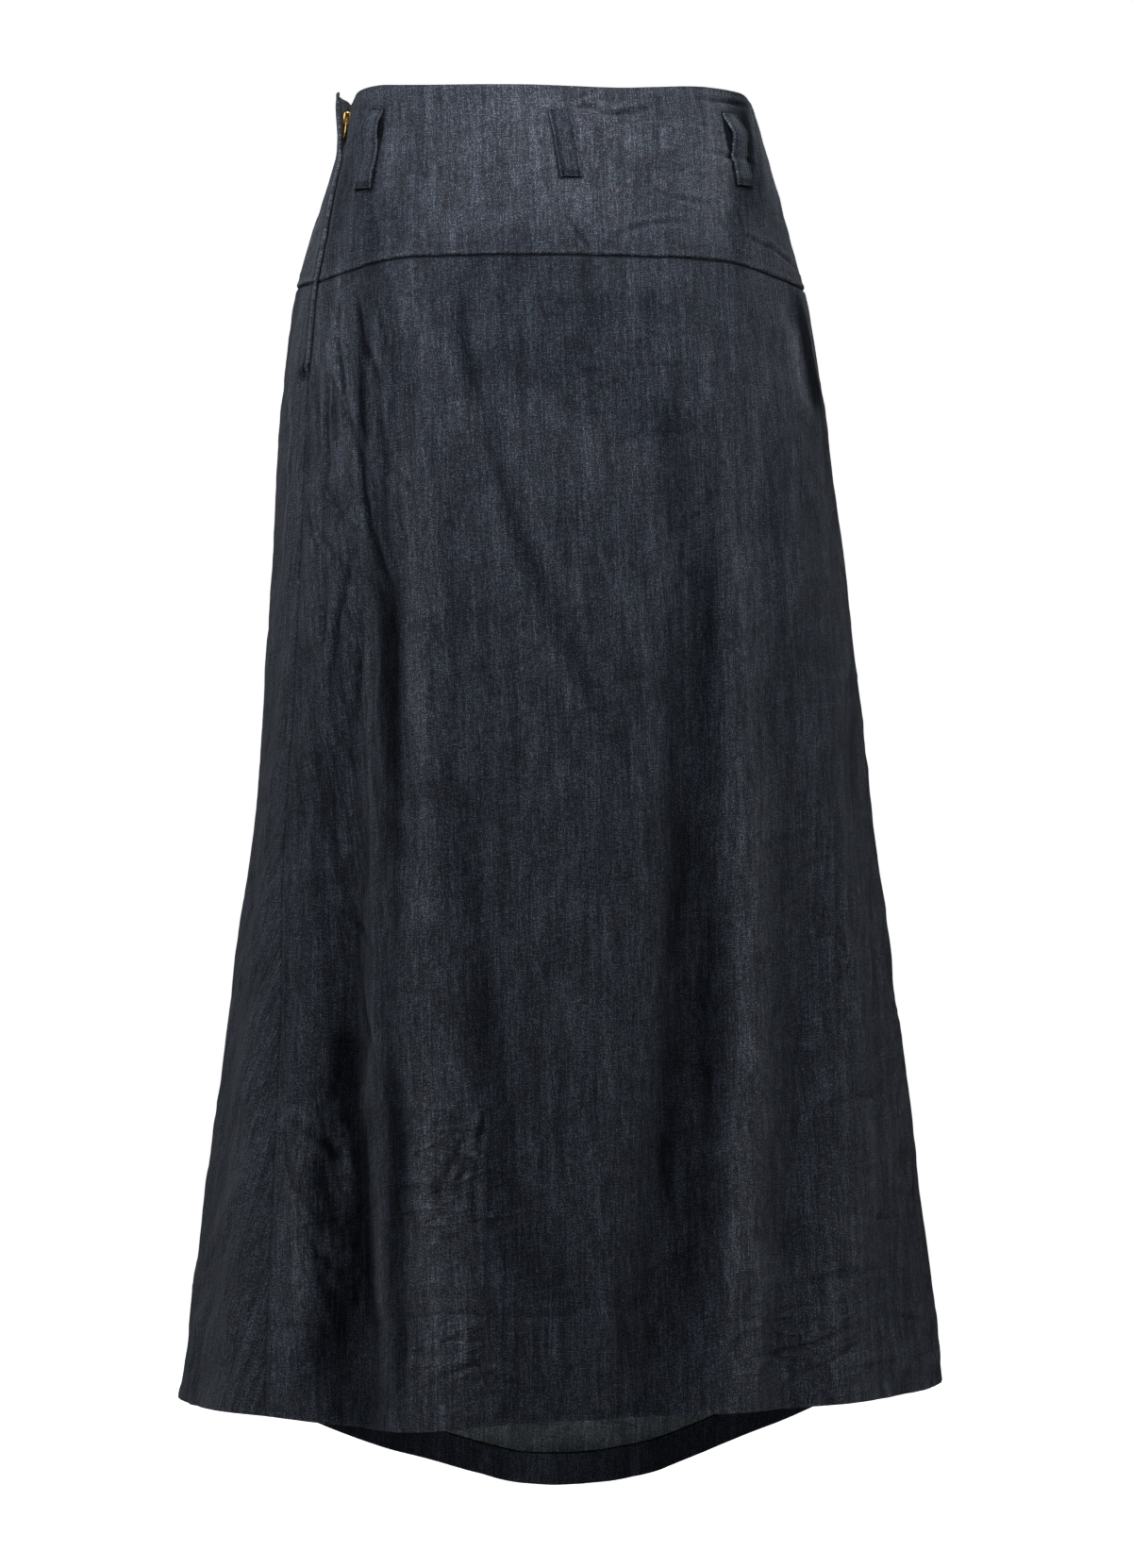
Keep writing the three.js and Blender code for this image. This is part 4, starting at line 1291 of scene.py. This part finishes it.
def back_yoke_drop(angle, v):
    start = np.zeros_like(angle)
    from_zip = (angle - beside_zip(start, 0)) / degrees_per_mm(angle, start)
    top = CORNER_FALL * (1 - smooth(from_zip, 0, CORNER_WIDTH)) - waist_rise(angle)
    return mix(top, yoke_edge(angle) + SEAM_LAP, v)


def front_yoke_drop(angle, v):
    start = np.zeros_like(angle)
    edge = 360 + beside_zip(start, lap_edge(start))
    from_edge = (edge - angle) / degrees_per_mm(angle, start)
    top = -LAP_TIP_RISE * (1 - smooth(from_edge, 0, LAP_WIDTH)) - waist_rise(angle)
    return mix(top, yoke_edge(angle) + SEAM_LAP, v)


def spaced(length, step, close_start=0, close_end=0, close=0.5):
    """Fractions from 0 to 1 at about a step, with extra close lines at the start and the end."""
    middle = np.linspace(close_start, length - close_end, max(2, round(
        (length - close_start - close_end) / step)))
    start = np.arange(0, close_start, close)
    end = length - np.arange(0, close_end, close)[::-1]
    return np.unique(np.round(np.concatenate([start, middle, end]) / length, 7))


def crowd(line, start, end, closeness):
    """Draws the points of a line together between two of its fractions, and apart elsewhere."""
    fine = np.linspace(0, 1, 2001)
    inside = 1 - smooth(fine, end, end + 0.05)
    if start > 0:
        inside = smooth(fine, start - 0.05, start) * inside
    weight = 1 + (closeness - 1) * inside
    run = np.concatenate([[0], np.cumsum((weight[1:] + weight[:-1]) / 2)])
    return np.interp(line, run / run[-1], fine)


class BuildYokes(bpy.types.Operator):
    """Back and front yoke, from the waist to the yoke seam"""
    bl_idname = "skirt.build_yokes"
    bl_label = "Yokes"

    def execute(self, context):
        wall = context.scene.skirt_cloth.yoke_wall
        rows = spaced(YOKE_DOWN, 1.25, 2, 7, 0.6)
        line = spaced(BACK_YOKE_ACROSS, 1.2, 4, 4, 0.6)
        cloth_piece("back_yoke", BACK, line, rows, back_yoke_drop, wall)
        line = spaced(FRONT_YOKE_ACROSS, 2.0, 4, 7, 0.5)
        cloth_piece("front_yoke", FRONT, line, rows, front_yoke_drop, wall)
        return {"FINISHED"}


class BuildPanels(bpy.types.Operator):
    """Back and front panel, from the yoke seam to the hem"""
    bl_idname = "skirt.build_panels"
    bl_label = "Panels"

    def execute(self, context):
        cloth = context.scene.skirt_cloth
        rows = crowd(spaced(BACK_PANEL_DOWN, cloth.fineness * 1.1, 3, 2, 0.8), 0.68, 1.0, 1.45)
        line = spaced(BACK_PANEL_ACROSS, cloth.fineness * 0.98, 4, 4, 0.9)
        line = crowd(line, 0.0, 0.24, 1.6)
        cloth_piece("back_panel", BACK, line, rows, panel_drop, cloth.panel_wall)
        rows = spaced(FRONT_PANEL_DOWN, cloth.fineness * 1.35, 3, 2, 0.8)
        line = spaced(FRONT_PANEL_ACROSS, cloth.fineness * 1.3, 4, 7, 0.5)
        cloth_piece("front_panel", FRONT, line, rows, panel_drop, cloth.panel_wall)
        return {"FINISHED"}


def turn_up(node, side, columns, ends, cloth):
    """The hem's turned-up strip, on the inside of a panel. The right side of the cloth shows.

    The front's strip ends just past the left seam, so that no light shows between the edges.
    """
    wall = cloth.turn_up_wall
    angle_at = back_angle if side is BACK else front_angle
    rows = np.array([0, 0.03, 0.08, 0.2, 0.35, 0.5, 0.65, 0.8, 0.92, 1])
    obj, u, v = grid_object(node + "_cloth", columns, len(rows) - 1)
    u = mix(ends[0], ends[1], u)
    v = np.interp(v, np.linspace(0, 1, len(rows)), rows)
    angle, drop = place_on(angle_at, lambda a: hem_edge(a) - mix(TURN_UP, SEAM_GAP, v), u)
    ease = 0.25 * lattice_noise(side.across(angle, drop) / 11, drop / 30, side.seed + 7)
    under = cloth_out(side, angle, drop) - cloth.panel_wall - SEAM_GAP - wall
    inner = under - np.maximum(ease, 0) * np.sin(math.pi * v)
    set_points(obj, cloth_point(angle, drop, inner + wall))
    set_cloth_map(obj, side.across(angle, drop) + 800, drop + 60)
    # Painted shade: the turned-up strip is made near black, a little paler at the front's middle
    set_painted_light_and_wear(obj, 0.1 * bell(angle - 183, 10))
    obj.data.materials.append(None)
    apply_modifier(obj, "SOLIDIFY", thickness=wall * MM, offset=-1, use_rim=True)
    finish_piece(obj, "skirt", [node], [material_of(denim_right_side)])


class BuildTurnUps(bpy.types.Operator):
    """The turned-up hem inside the back and the front panel"""
    bl_idname = "skirt.build_turn_ups"
    bl_label = "Hem turn-ups"

    def execute(self, context):
        cloth = context.scene.skirt_cloth
        turn_up("back_turn_up", BACK, 200, (0.007, 0.997), cloth)
        turn_up("front_turn_up", FRONT, 260, (0.003, 1.0025), cloth)
        return {"FINISHED"}


def loop_side(angle):
    return BACK if abs(wrap(angle)) < 90 else FRONT


def loop_out(loop, u, v, drop, angle):
    """Offset of a loop's outer face. The strap bulges off the yoke and waves a little."""
    _, top_angle, _, top, bottom, bow, at = loop
    from_end = np.minimum(v, 1 - v) * (bottom - top)
    side = loop_side(top_angle)
    under = side.height(angle, drop)
    lean = 0.7 * np.sin(5.0 * v + top_angle) * (u - 0.5) * smooth(from_end, 0, 12)
    wave = 0.4 * np.sin(13 * v + top_angle) * smooth(from_end, 2, 12)
    bulge = bow * bell(v - at, 0.17) * smooth(from_end, 1, 7)
    rise = SEAM_GAP + 0.9 * smooth(from_end, 1, 6) + bulge
    settled = mix(under, np.maximum(under, 0), smooth(from_end, 0, 14))
    return settled + rise + lean + wave


def loop_place(loop, u, v):
    _, top_angle, bottom_angle, top, bottom, _, _ = loop
    drop = mix(top, bottom, v)
    middle = mix(top_angle, bottom_angle, v)
    return middle + (u - 0.5) * LOOP_WIDTH * degrees_per_mm(middle, drop), drop


def belt_loop(loop, wall):
    """A strap of folded denim with soft edges, its lower end turned under."""
    name = loop[0]
    edges = np.array([0, 0.03, 0.07, 0.1, 0.13, 0.16, 0.21, 0.35])
    columns = np.concatenate([edges, [0.5], 1 - edges[::-1]])
    obj, u, v = grid_object(name + "_cloth", len(columns) - 1, 52)
    u = np.interp(u, np.linspace(0, 1, len(columns)), columns)
    angle, drop = loop_place(loop, u, v)
    out = loop_out(loop, u, v, drop, angle)
    to_edge = np.minimum(u, 1 - u) * LOOP_WIDTH
    to_end = (1 - v) * (loop[4] - loop[3])
    groove = -0.35 * bell(to_edge - 1.7, 0.5)
    end_fold = 0.5 * (1 - smooth(to_end, 3.6, 4.6))
    set_points(obj, cloth_point(angle, drop, out + wall + groove + end_fold))
    set_cloth_map(obj, (u - 0.5) * LOOP_WIDTH + 400, drop + 13 * loop[1])
    # Painted highlights on the strap's edges and on its very end, painted shade in the grooves and
    # on the turned-under end, with some wear
    painted_light_and_wear = 0.56 + 0.44 * bell(to_edge, 0.7) - 0.45 * bell(to_edge - 1.7, 0.6)
    painted_light_and_wear = painted_light_and_wear - 0.3 * (1 - smooth(to_end, 3.6, 4.8)) + 0.5 * bell(to_end, 0.6)
    set_painted_light_and_wear(obj, np.clip(painted_light_and_wear, 0.05, 1))
    apply_modifier(obj, "SOLIDIFY", thickness=wall * MM, offset=-1, use_rim=True)
    apply_modifier(obj, "BEVEL", width=0.3 * MM, segments=2, limit_method="ANGLE",
                   angle_limit=math.radians(50))
    finish_piece(obj, "skirt", [name], [material_of(denim_right_side)])


class BuildLoops(bpy.types.Operator):
    """The five belt loops on the yoke"""
    bl_idname = "skirt.build_loops"
    bl_label = "Belt loops"

    def execute(self, context):
        for loop in BELT_LOOPS:
            belt_loop(loop, context.scene.skirt_cloth.loop_wall)
        return {"FINISHED"}


def take_shape(obj):
    """Points and faces of an object, which is then removed."""
    mesh = obj.data
    points = np.array([v.co for v in mesh.vertices])
    faces = [list(p.vertices) for p in mesh.polygons]
    bpy.data.objects.remove(obj)
    bpy.data.meshes.remove(mesh)
    return points, faces


def bead(segments, rings):
    """Points and faces of a small ball of radius 1."""
    deselect_all()
    bpy.ops.mesh.primitive_uv_sphere_add(segments=segments, ring_count=rings, radius=1)
    return take_shape(bpy.context.object)


def repeated(name, points, faces, frames):
    """One mesh of many copies. Each frame is a 3 by 4 array: three axes and a place, in mm."""
    count = len(points)
    all_points = np.concatenate([points @ f[:, :3].T + f[:, 3] for f in frames]) * MM
    all_faces = [[i + k * count for i in face] for k in range(len(frames)) for face in faces]
    mesh = bpy.data.meshes.new(name)
    mesh.from_pydata(all_points.tolist(), [], all_faces)
    mesh.update()
    obj = bpy.data.objects.new(name, mesh)
    bpy.context.scene.collection.objects.link(obj)
    return obj


def stitch_frames(line, normals, length, width):
    """Frames of stitches laid end to end along a line of points, with a small gap between."""
    steps = np.linalg.norm(np.diff(line, axis=0), axis=1)
    along = np.concatenate([[0], np.cumsum(steps)])
    pitch = length * STITCH_PITCH
    count = int(along[-1] / pitch)
    frames = []
    for k in range(count):
        at = (k + 0.5) * pitch
        ends = [np.array([np.interp(at + d, along, line[:, j]) for j in range(3)])
                for d in (-length / 2, length / 2)]
        out = np.array([np.interp(at, along, normals[:, j]) for j in range(3)])
        way = ends[1] - ends[0]
        way /= np.linalg.norm(way)
        out -= way * out.dot(way)
        out /= np.linalg.norm(out)
        aside = np.cross(way, out)
        axes = np.stack([way * length / 2, aside * width / 2, out * width / 2], -1)
        middle = (ends[0] + ends[1]) / 2 + out * width * 0.12
        frames.append(np.concatenate([axes, middle[:, None]], axis=1))
    return frames


def cloth_line(side, angle, drop):
    """Points on the worn cloth along a line, and the outward direction at each."""
    out = cloth_out(side, angle, drop)
    return cloth_point(angle, drop, out), normal_of(folded_point, angle, drop)


class BuildStitches(bpy.types.Operator):
    """Rows of navy topstitching at the hem, the lap, the left seam and the belt loops"""
    bl_idname = "skirt.build_stitches"
    bl_label = "Topstitching"

    def execute(self, context):
        cloth = context.scene.skirt_cloth
        points, faces = bead(8, 5)
        size = (cloth.stitch_length, cloth.thread_width)
        rows = {
            "stitches_back_hem": [self.hem_row(BACK, back_angle, 0.01, 0.99)],
            "stitches_front_hem": [self.hem_row(FRONT, front_angle, 0.01, 0.985)],
            "stitches_lap": [*map(self.lap_row, LAP_STITCHES), self.lap_end_row()],
            "stitches_left_seam": [self.seam_row()],
        }
        for name, lines in rows.items():
            frames = [f for line, normals in lines for f in stitch_frames(line, normals, *size)]
            self.finish_row(repeated(name, points, faces, frames))
        frames = []
        for loop in BELT_LOOPS:
            for u in (0.13, 0.87):
                line, normals = self.loop_row(loop, u, cloth.loop_wall)
                frames += stitch_frames(line, normals, size[0] * 0.8, size[1])
        self.finish_row(repeated("stitches_loops", points, faces, frames))
        return {"FINISHED"}

    def finish_row(self, obj):
        finish_piece(obj, "skirt", [], [material_of(sewing_thread)])

    def hem_row(self, side, angle_at, start, end):
        u = np.linspace(start, end, 500)
        angle, drop = place_on(angle_at, lambda a: hem_edge(a) - TURN_UP - HEM_STITCHES, u)
        return cloth_line(side, angle, drop)

    def lap_row(self, inside):
        drop = np.linspace(6, LAP_END + 2, 160)
        return cloth_line(FRONT, 360 + beside_zip(drop, lap_edge(drop) + inside), drop)

    def lap_end_row(self):
        t = np.linspace(0, math.pi / 2, 40)
        drop = LAP_END + 2 + 9 * np.sin(t)
        return cloth_line(FRONT, 360 + beside_zip(drop, -1.2 - 8.8 * np.cos(t)), drop)

    def seam_row(self):
        drop = np.linspace(LAP_BOTTOM + 8, HEM_DROP - 2, 500)
        return cloth_line(BACK, beside_zip(drop, SEAM_STITCHES), drop)

    def loop_row(self, loop, u, wall):
        v = np.linspace(0.02, 0.98, 80)
        u = np.full_like(v, u)
        angle, drop = loop_place(loop, u, v)
        out = loop_out(loop, u, v, drop, angle) + wall - 0.2 + 0.5 * smooth(v, 0.9, 0.93)
        return cloth_point(angle, drop, out), normal_of(folded_point, angle, drop)


def zip_frame(drop, along, out):
    """Axes at a place of the zip: across it towards the back, up along it, and out of the cloth."""
    angle = beside_zip(np.array(drop, float), along)
    above = folded_point(beside_zip(np.array(drop - 1.0), along), np.array(drop - 1.0))
    below = folded_point(beside_zip(np.array(drop + 1.0), along), np.array(drop + 1.0))
    up = (above - below) / np.linalg.norm(above - below)
    across = folded_point(angle + 1, np.array(drop)) - folded_point(angle - 1, np.array(drop))
    outward = np.cross(across, up)
    outward /= np.linalg.norm(outward)
    axes = np.stack([np.cross(up, outward), up, outward], -1)
    place = cloth_point(angle, np.array(drop, float), 0.0) + outward * out
    return np.concatenate([axes, place[:, None]], axis=1)


def tooth_shape():
    """A stamped tooth: a rounded bar that clasps the tape, with a nib at its free end."""
    deselect_all()
    bpy.ops.mesh.primitive_cube_add(size=1)
    tooth = bpy.context.object
    points = np.array([v.co for v in tooth.data.vertices])
    points *= TOOTH_SIZE
    points[points[:, 0] > 0] *= (1, 0.62, 0.7)
    tooth.data.vertices.foreach_set("co", points.ravel())
    tooth.data.update()
    apply_modifier(tooth, "BEVEL", width=0.22, segments=1, limit_method="NONE")
    return take_shape(tooth)


class BuildZip(bpy.types.Operator):
    """Brass teeth, tapes, slider and pull tab in the left seam"""
    bl_idname = "skirt.build_zip"
    bl_label = "Zip"

    def execute(self, context):
        self.teeth(context.scene.skirt_zip.tooth_pitch)
        chain_from = CHAIN_MIDDLE - CHAIN_WIDTH / 2
        chain_to = CHAIN_MIDDLE + CHAIN_WIDTH / 2
        self.tape("zip_tape_front", chain_from - TAPE_GAP - TAPE_WIDTH, chain_from + 1.6)
        self.tape("zip_tape_back", chain_to - 1.6, chain_to + TAPE_GAP + TAPE_WIDTH)
        self.metal("zip_slider", "skirt")
        self.metal("zip_pull", "zip_pull")
        return {"FINISHED"}

    def teeth(self, pitch):
        points, faces = tooth_shape()
        frames = []
        drop = CHAIN_TOP + 0.6
        while drop < CHAIN_BOTTOM - 9:
            frames.append(self.tooth_frame(drop, -TOOTH_ASIDE, 1))
            frames.append(self.tooth_frame(drop + pitch / 2, TOOTH_ASIDE, -1))
            drop += pitch
        for k in range(2):
            frames.append(self.tooth_frame(TOP_TEETH_DROP - k * pitch, -2.4, 1))
            frames.append(self.tooth_frame(TOP_TEETH_DROP - k * pitch, 2.2, -1))
        obj = repeated("zip_teeth_brass", points, faces, frames)
        finish_piece(obj, "skirt", ["zip_teeth"], [material_of(brass)])
        set_active(obj)
        bpy.ops.object.shade_smooth_by_angle(angle=math.radians(35))

    def tooth_frame(self, drop, aside, way):
        at = zip_frame(drop, CHAIN_MIDDLE, -TOOTH_DEPTH)
        at[:, 3] += at[:, 0] * aside
        if way < 0:
            at[:, 0] *= -1
            at[:, 1] *= -1
        return at

    def tape(self, node, start, end):
        obj, u, v = grid_object(node + "_woven", 10, 90)
        drop = mix(TAPE_TOP, TAPE_BOTTOM, v)
        angle = beside_zip(drop, mix(start, end, u))
        set_points(obj, cloth_point(angle, drop, -TAPE_DEPTH))
        apply_modifier(obj, "SOLIDIFY", thickness=TAPE_WALL * MM, offset=-1, use_rim=True)
        finish_piece(obj, "skirt", [node], [material_of(zip_tape)])

    def metal(self, node, body):
        """The solid's own form with its edges rounded, as on a die-cast slider."""
        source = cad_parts[node]
        obj = source.copy()
        obj.data = source.data.copy()
        obj.parent = None
        for key in list(obj.keys()):
            del obj[key]
        obj.name = node + "_brass"
        bpy.context.scene.collection.objects.link(obj)
        obj.hide_render = False
        obj.hide_viewport = False
        set_active(obj)
        bpy.ops.object.mode_set(mode="EDIT")
        bpy.ops.mesh.select_all(action="SELECT")
        bpy.ops.mesh.remove_doubles(threshold=0.01 * MM)
        bpy.ops.mesh.dissolve_limited(angle_limit=math.radians(1))
        bpy.ops.object.mode_set(mode="OBJECT")
        apply_modifier(obj, "BEVEL", width=0.2 * MM, segments=2, limit_method="ANGLE",
                       angle_limit=math.radians(30))
        finish_piece(obj, body, [node], [material_of(brass)])
        set_active(obj)
        bpy.ops.object.shade_smooth_by_angle(angle=math.radians(35))


# The studio

class BuildStage(bpy.types.Operator):
    """Pale cove, soft lights and the camera"""
    bl_idname = "skirt.build_stage"
    bl_label = "Stage"

    def execute(self, context):
        stage = context.scene.skirt_stage
        self.cove(stage)
        self.lights(stage)
        self.camera(stage)
        context.scene.view_settings.view_transform = "Standard"
        return {"FINISHED"}

    def cove(self, stage):
        """A wide round floor that curves up into a wall, shaped from a disc."""
        deselect_all()
        floor_z = CAD_BOX[0][2] - stage.floor_gap
        bpy.ops.mesh.primitive_circle_add(vertices=96, radius=COVE_RADIUS, fill_type="NGON",
                                          location=(0, 0, floor_z))
        cove = bpy.context.object
        cove.name = "cove"
        bpy.ops.object.mode_set(mode="EDIT")
        bpy.ops.mesh.select_all(action="DESELECT")
        bpy.ops.mesh.select_mode(type="EDGE")
        bpy.ops.mesh.select_all(action="SELECT")
        bpy.ops.mesh.region_to_loop()
        for k in range(1, 10):
            turn = math.radians(10 * k)
            last = math.radians(10 * (k - 1))
            reach = COVE_BEND * (math.sin(turn) - math.sin(last))
            rise = COVE_BEND * (math.cos(last) - math.cos(turn))
            radius = COVE_RADIUS + COVE_BEND * math.sin(last)
            grow = (radius + reach) / radius
            bpy.ops.mesh.extrude_edges_move(TRANSFORM_OT_translate={"value": (0, 0, rise)})
            bpy.ops.transform.resize(value=(grow, grow, 1), center_override=(0, 0, 0))
        bpy.ops.mesh.extrude_edges_move(TRANSFORM_OT_translate={"value": (0, 0, COVE_RADIUS)})
        bpy.ops.mesh.select_all(action="SELECT")
        bpy.ops.mesh.normals_make_consistent(inside=True)
        bpy.ops.object.mode_set(mode="OBJECT")
        bpy.ops.object.shade_smooth_by_angle(angle=math.radians(40))
        cove.data.materials.append(material_of(studio_white))
        cove.visible_diffuse = False
        cove.visible_glossy = False

    def light(self, name, place, target, width, height, power):
        data = bpy.data.lights.new(name, "AREA")
        data.shape = "RECTANGLE"
        data.size, data.size_y = width, height
        data.energy = power
        lamp = bpy.data.objects.new(name, data)
        bpy.context.scene.collection.objects.link(lamp)
        lamp.location = place
        aim = Vector(target) - Vector(place)
        lamp.rotation_euler = aim.to_track_quat("-Z", "Y").to_euler()
        return lamp

    def lights(self, stage):
        key = self.light("key", (-0.15, -1.15, 0.5), (0, 0, -0.04), 0.3, 0.3, stage.key_power)
        key.data.spread = math.radians(34)
        self.light("front", (-0.5, -2.3, 0.75), (0, 0, -0.5), 0.3, 0.3, stage.front_power)
        self.light("side_left", (-2.0, -0.9, 0.5), (0, 0, -0.55), 0.3, 0.5, stage.side_power)
        self.light("side_right", (2.1, -0.9, 0.3), (0, 0, -0.6), 0.3, 0.5, stage.side_power)
        low = self.light("low", (0.01, -0.1, -1.05), (0.01, 0.2, -0.86), 0.2, 0.06, stage.low_power)
        low.visible_camera = False
        self.light("back_soft", (0.3, 2.4, 0.9), (0, 0, -0.4), 1.5, 1.5, stage.back_power)
        world = bpy.context.scene.world or bpy.data.worlds.new("studio")
        bpy.context.scene.world = world
        world.use_nodes = True
        world.node_tree.nodes.clear()
        glow = add(world.node_tree, "ShaderNodeBackground",
                   {"Color": (1, 1, 1, 1), "Strength": 0.05})
        add(world.node_tree, "ShaderNodeOutputWorld", None, {"Surface": glow.outputs[0]})

    def camera(self, stage):
        """The photograph's view: level, a little to the left of the centre back."""
        data = bpy.data.cameras.new("photo_view")
        data.sensor_fit = "VERTICAL"
        data.sensor_height = 36
        data.lens = stage.lens
        camera = bpy.data.objects.new("photo_view", data)
        bpy.context.scene.collection.objects.link(camera)
        turn = stage.camera_azimuth
        right = Vector((math.cos(turn), math.sin(turn), 0))
        back = Vector((math.sin(turn), -math.cos(turn), 0))
        aside, height = 0.0104, -0.4398
        camera.location = back * stage.camera_distance + right * aside + Vector((0, 0, height))
        camera.rotation_euler = (math.radians(90), 0, turn)
        bpy.context.scene.camera = camera


class SKIRT_PT_build(bpy.types.Panel):
    """Sizes, colours and the steps of the build"""
    bl_idname = "SKIRT_PT_build"
    bl_label = "Denim skirt"
    bl_space_type = "VIEW_3D"
    bl_region_type = "UI"
    bl_category = "Skirt"

    def draw(self, context):
        for group in (context.scene.skirt_cloth, context.scene.skirt_zip, context.scene.skirt_stage):
            box = self.layout.box()
            for name in group.__annotations__:
                box.prop(group, name)
        for step in STEPS:
            self.layout.operator(step.bl_idname)


STEPS = (BuildYokes, BuildPanels, BuildTurnUps, BuildLoops, BuildStitches, BuildZip, BuildStage)
GROUPS = (SkirtCloth, SkirtZip, SkirtStage)


def register():
    for kind in (*GROUPS, *STEPS, SKIRT_PT_build):
        bpy.utils.register_class(kind)
    bpy.types.Scene.skirt_cloth = PointerProperty(type=SkirtCloth)
    bpy.types.Scene.skirt_zip = PointerProperty(type=SkirtZip)
    bpy.types.Scene.skirt_stage = PointerProperty(type=SkirtStage)


def unregister():
    del bpy.types.Scene.skirt_stage
    del bpy.types.Scene.skirt_zip
    del bpy.types.Scene.skirt_cloth
    for kind in reversed((*GROUPS, *STEPS, SKIRT_PT_build)):
        bpy.utils.unregister_class(kind)


def main():
    register()
    bpy.ops.skirt.build_yokes()
    bpy.ops.skirt.build_panels()
    bpy.ops.skirt.build_turn_ups()
    bpy.ops.skirt.build_loops()
    bpy.ops.skirt.build_stitches()
    bpy.ops.skirt.build_zip()
    bpy.ops.skirt.build_stage()


if __name__ == "__main__":
    main()
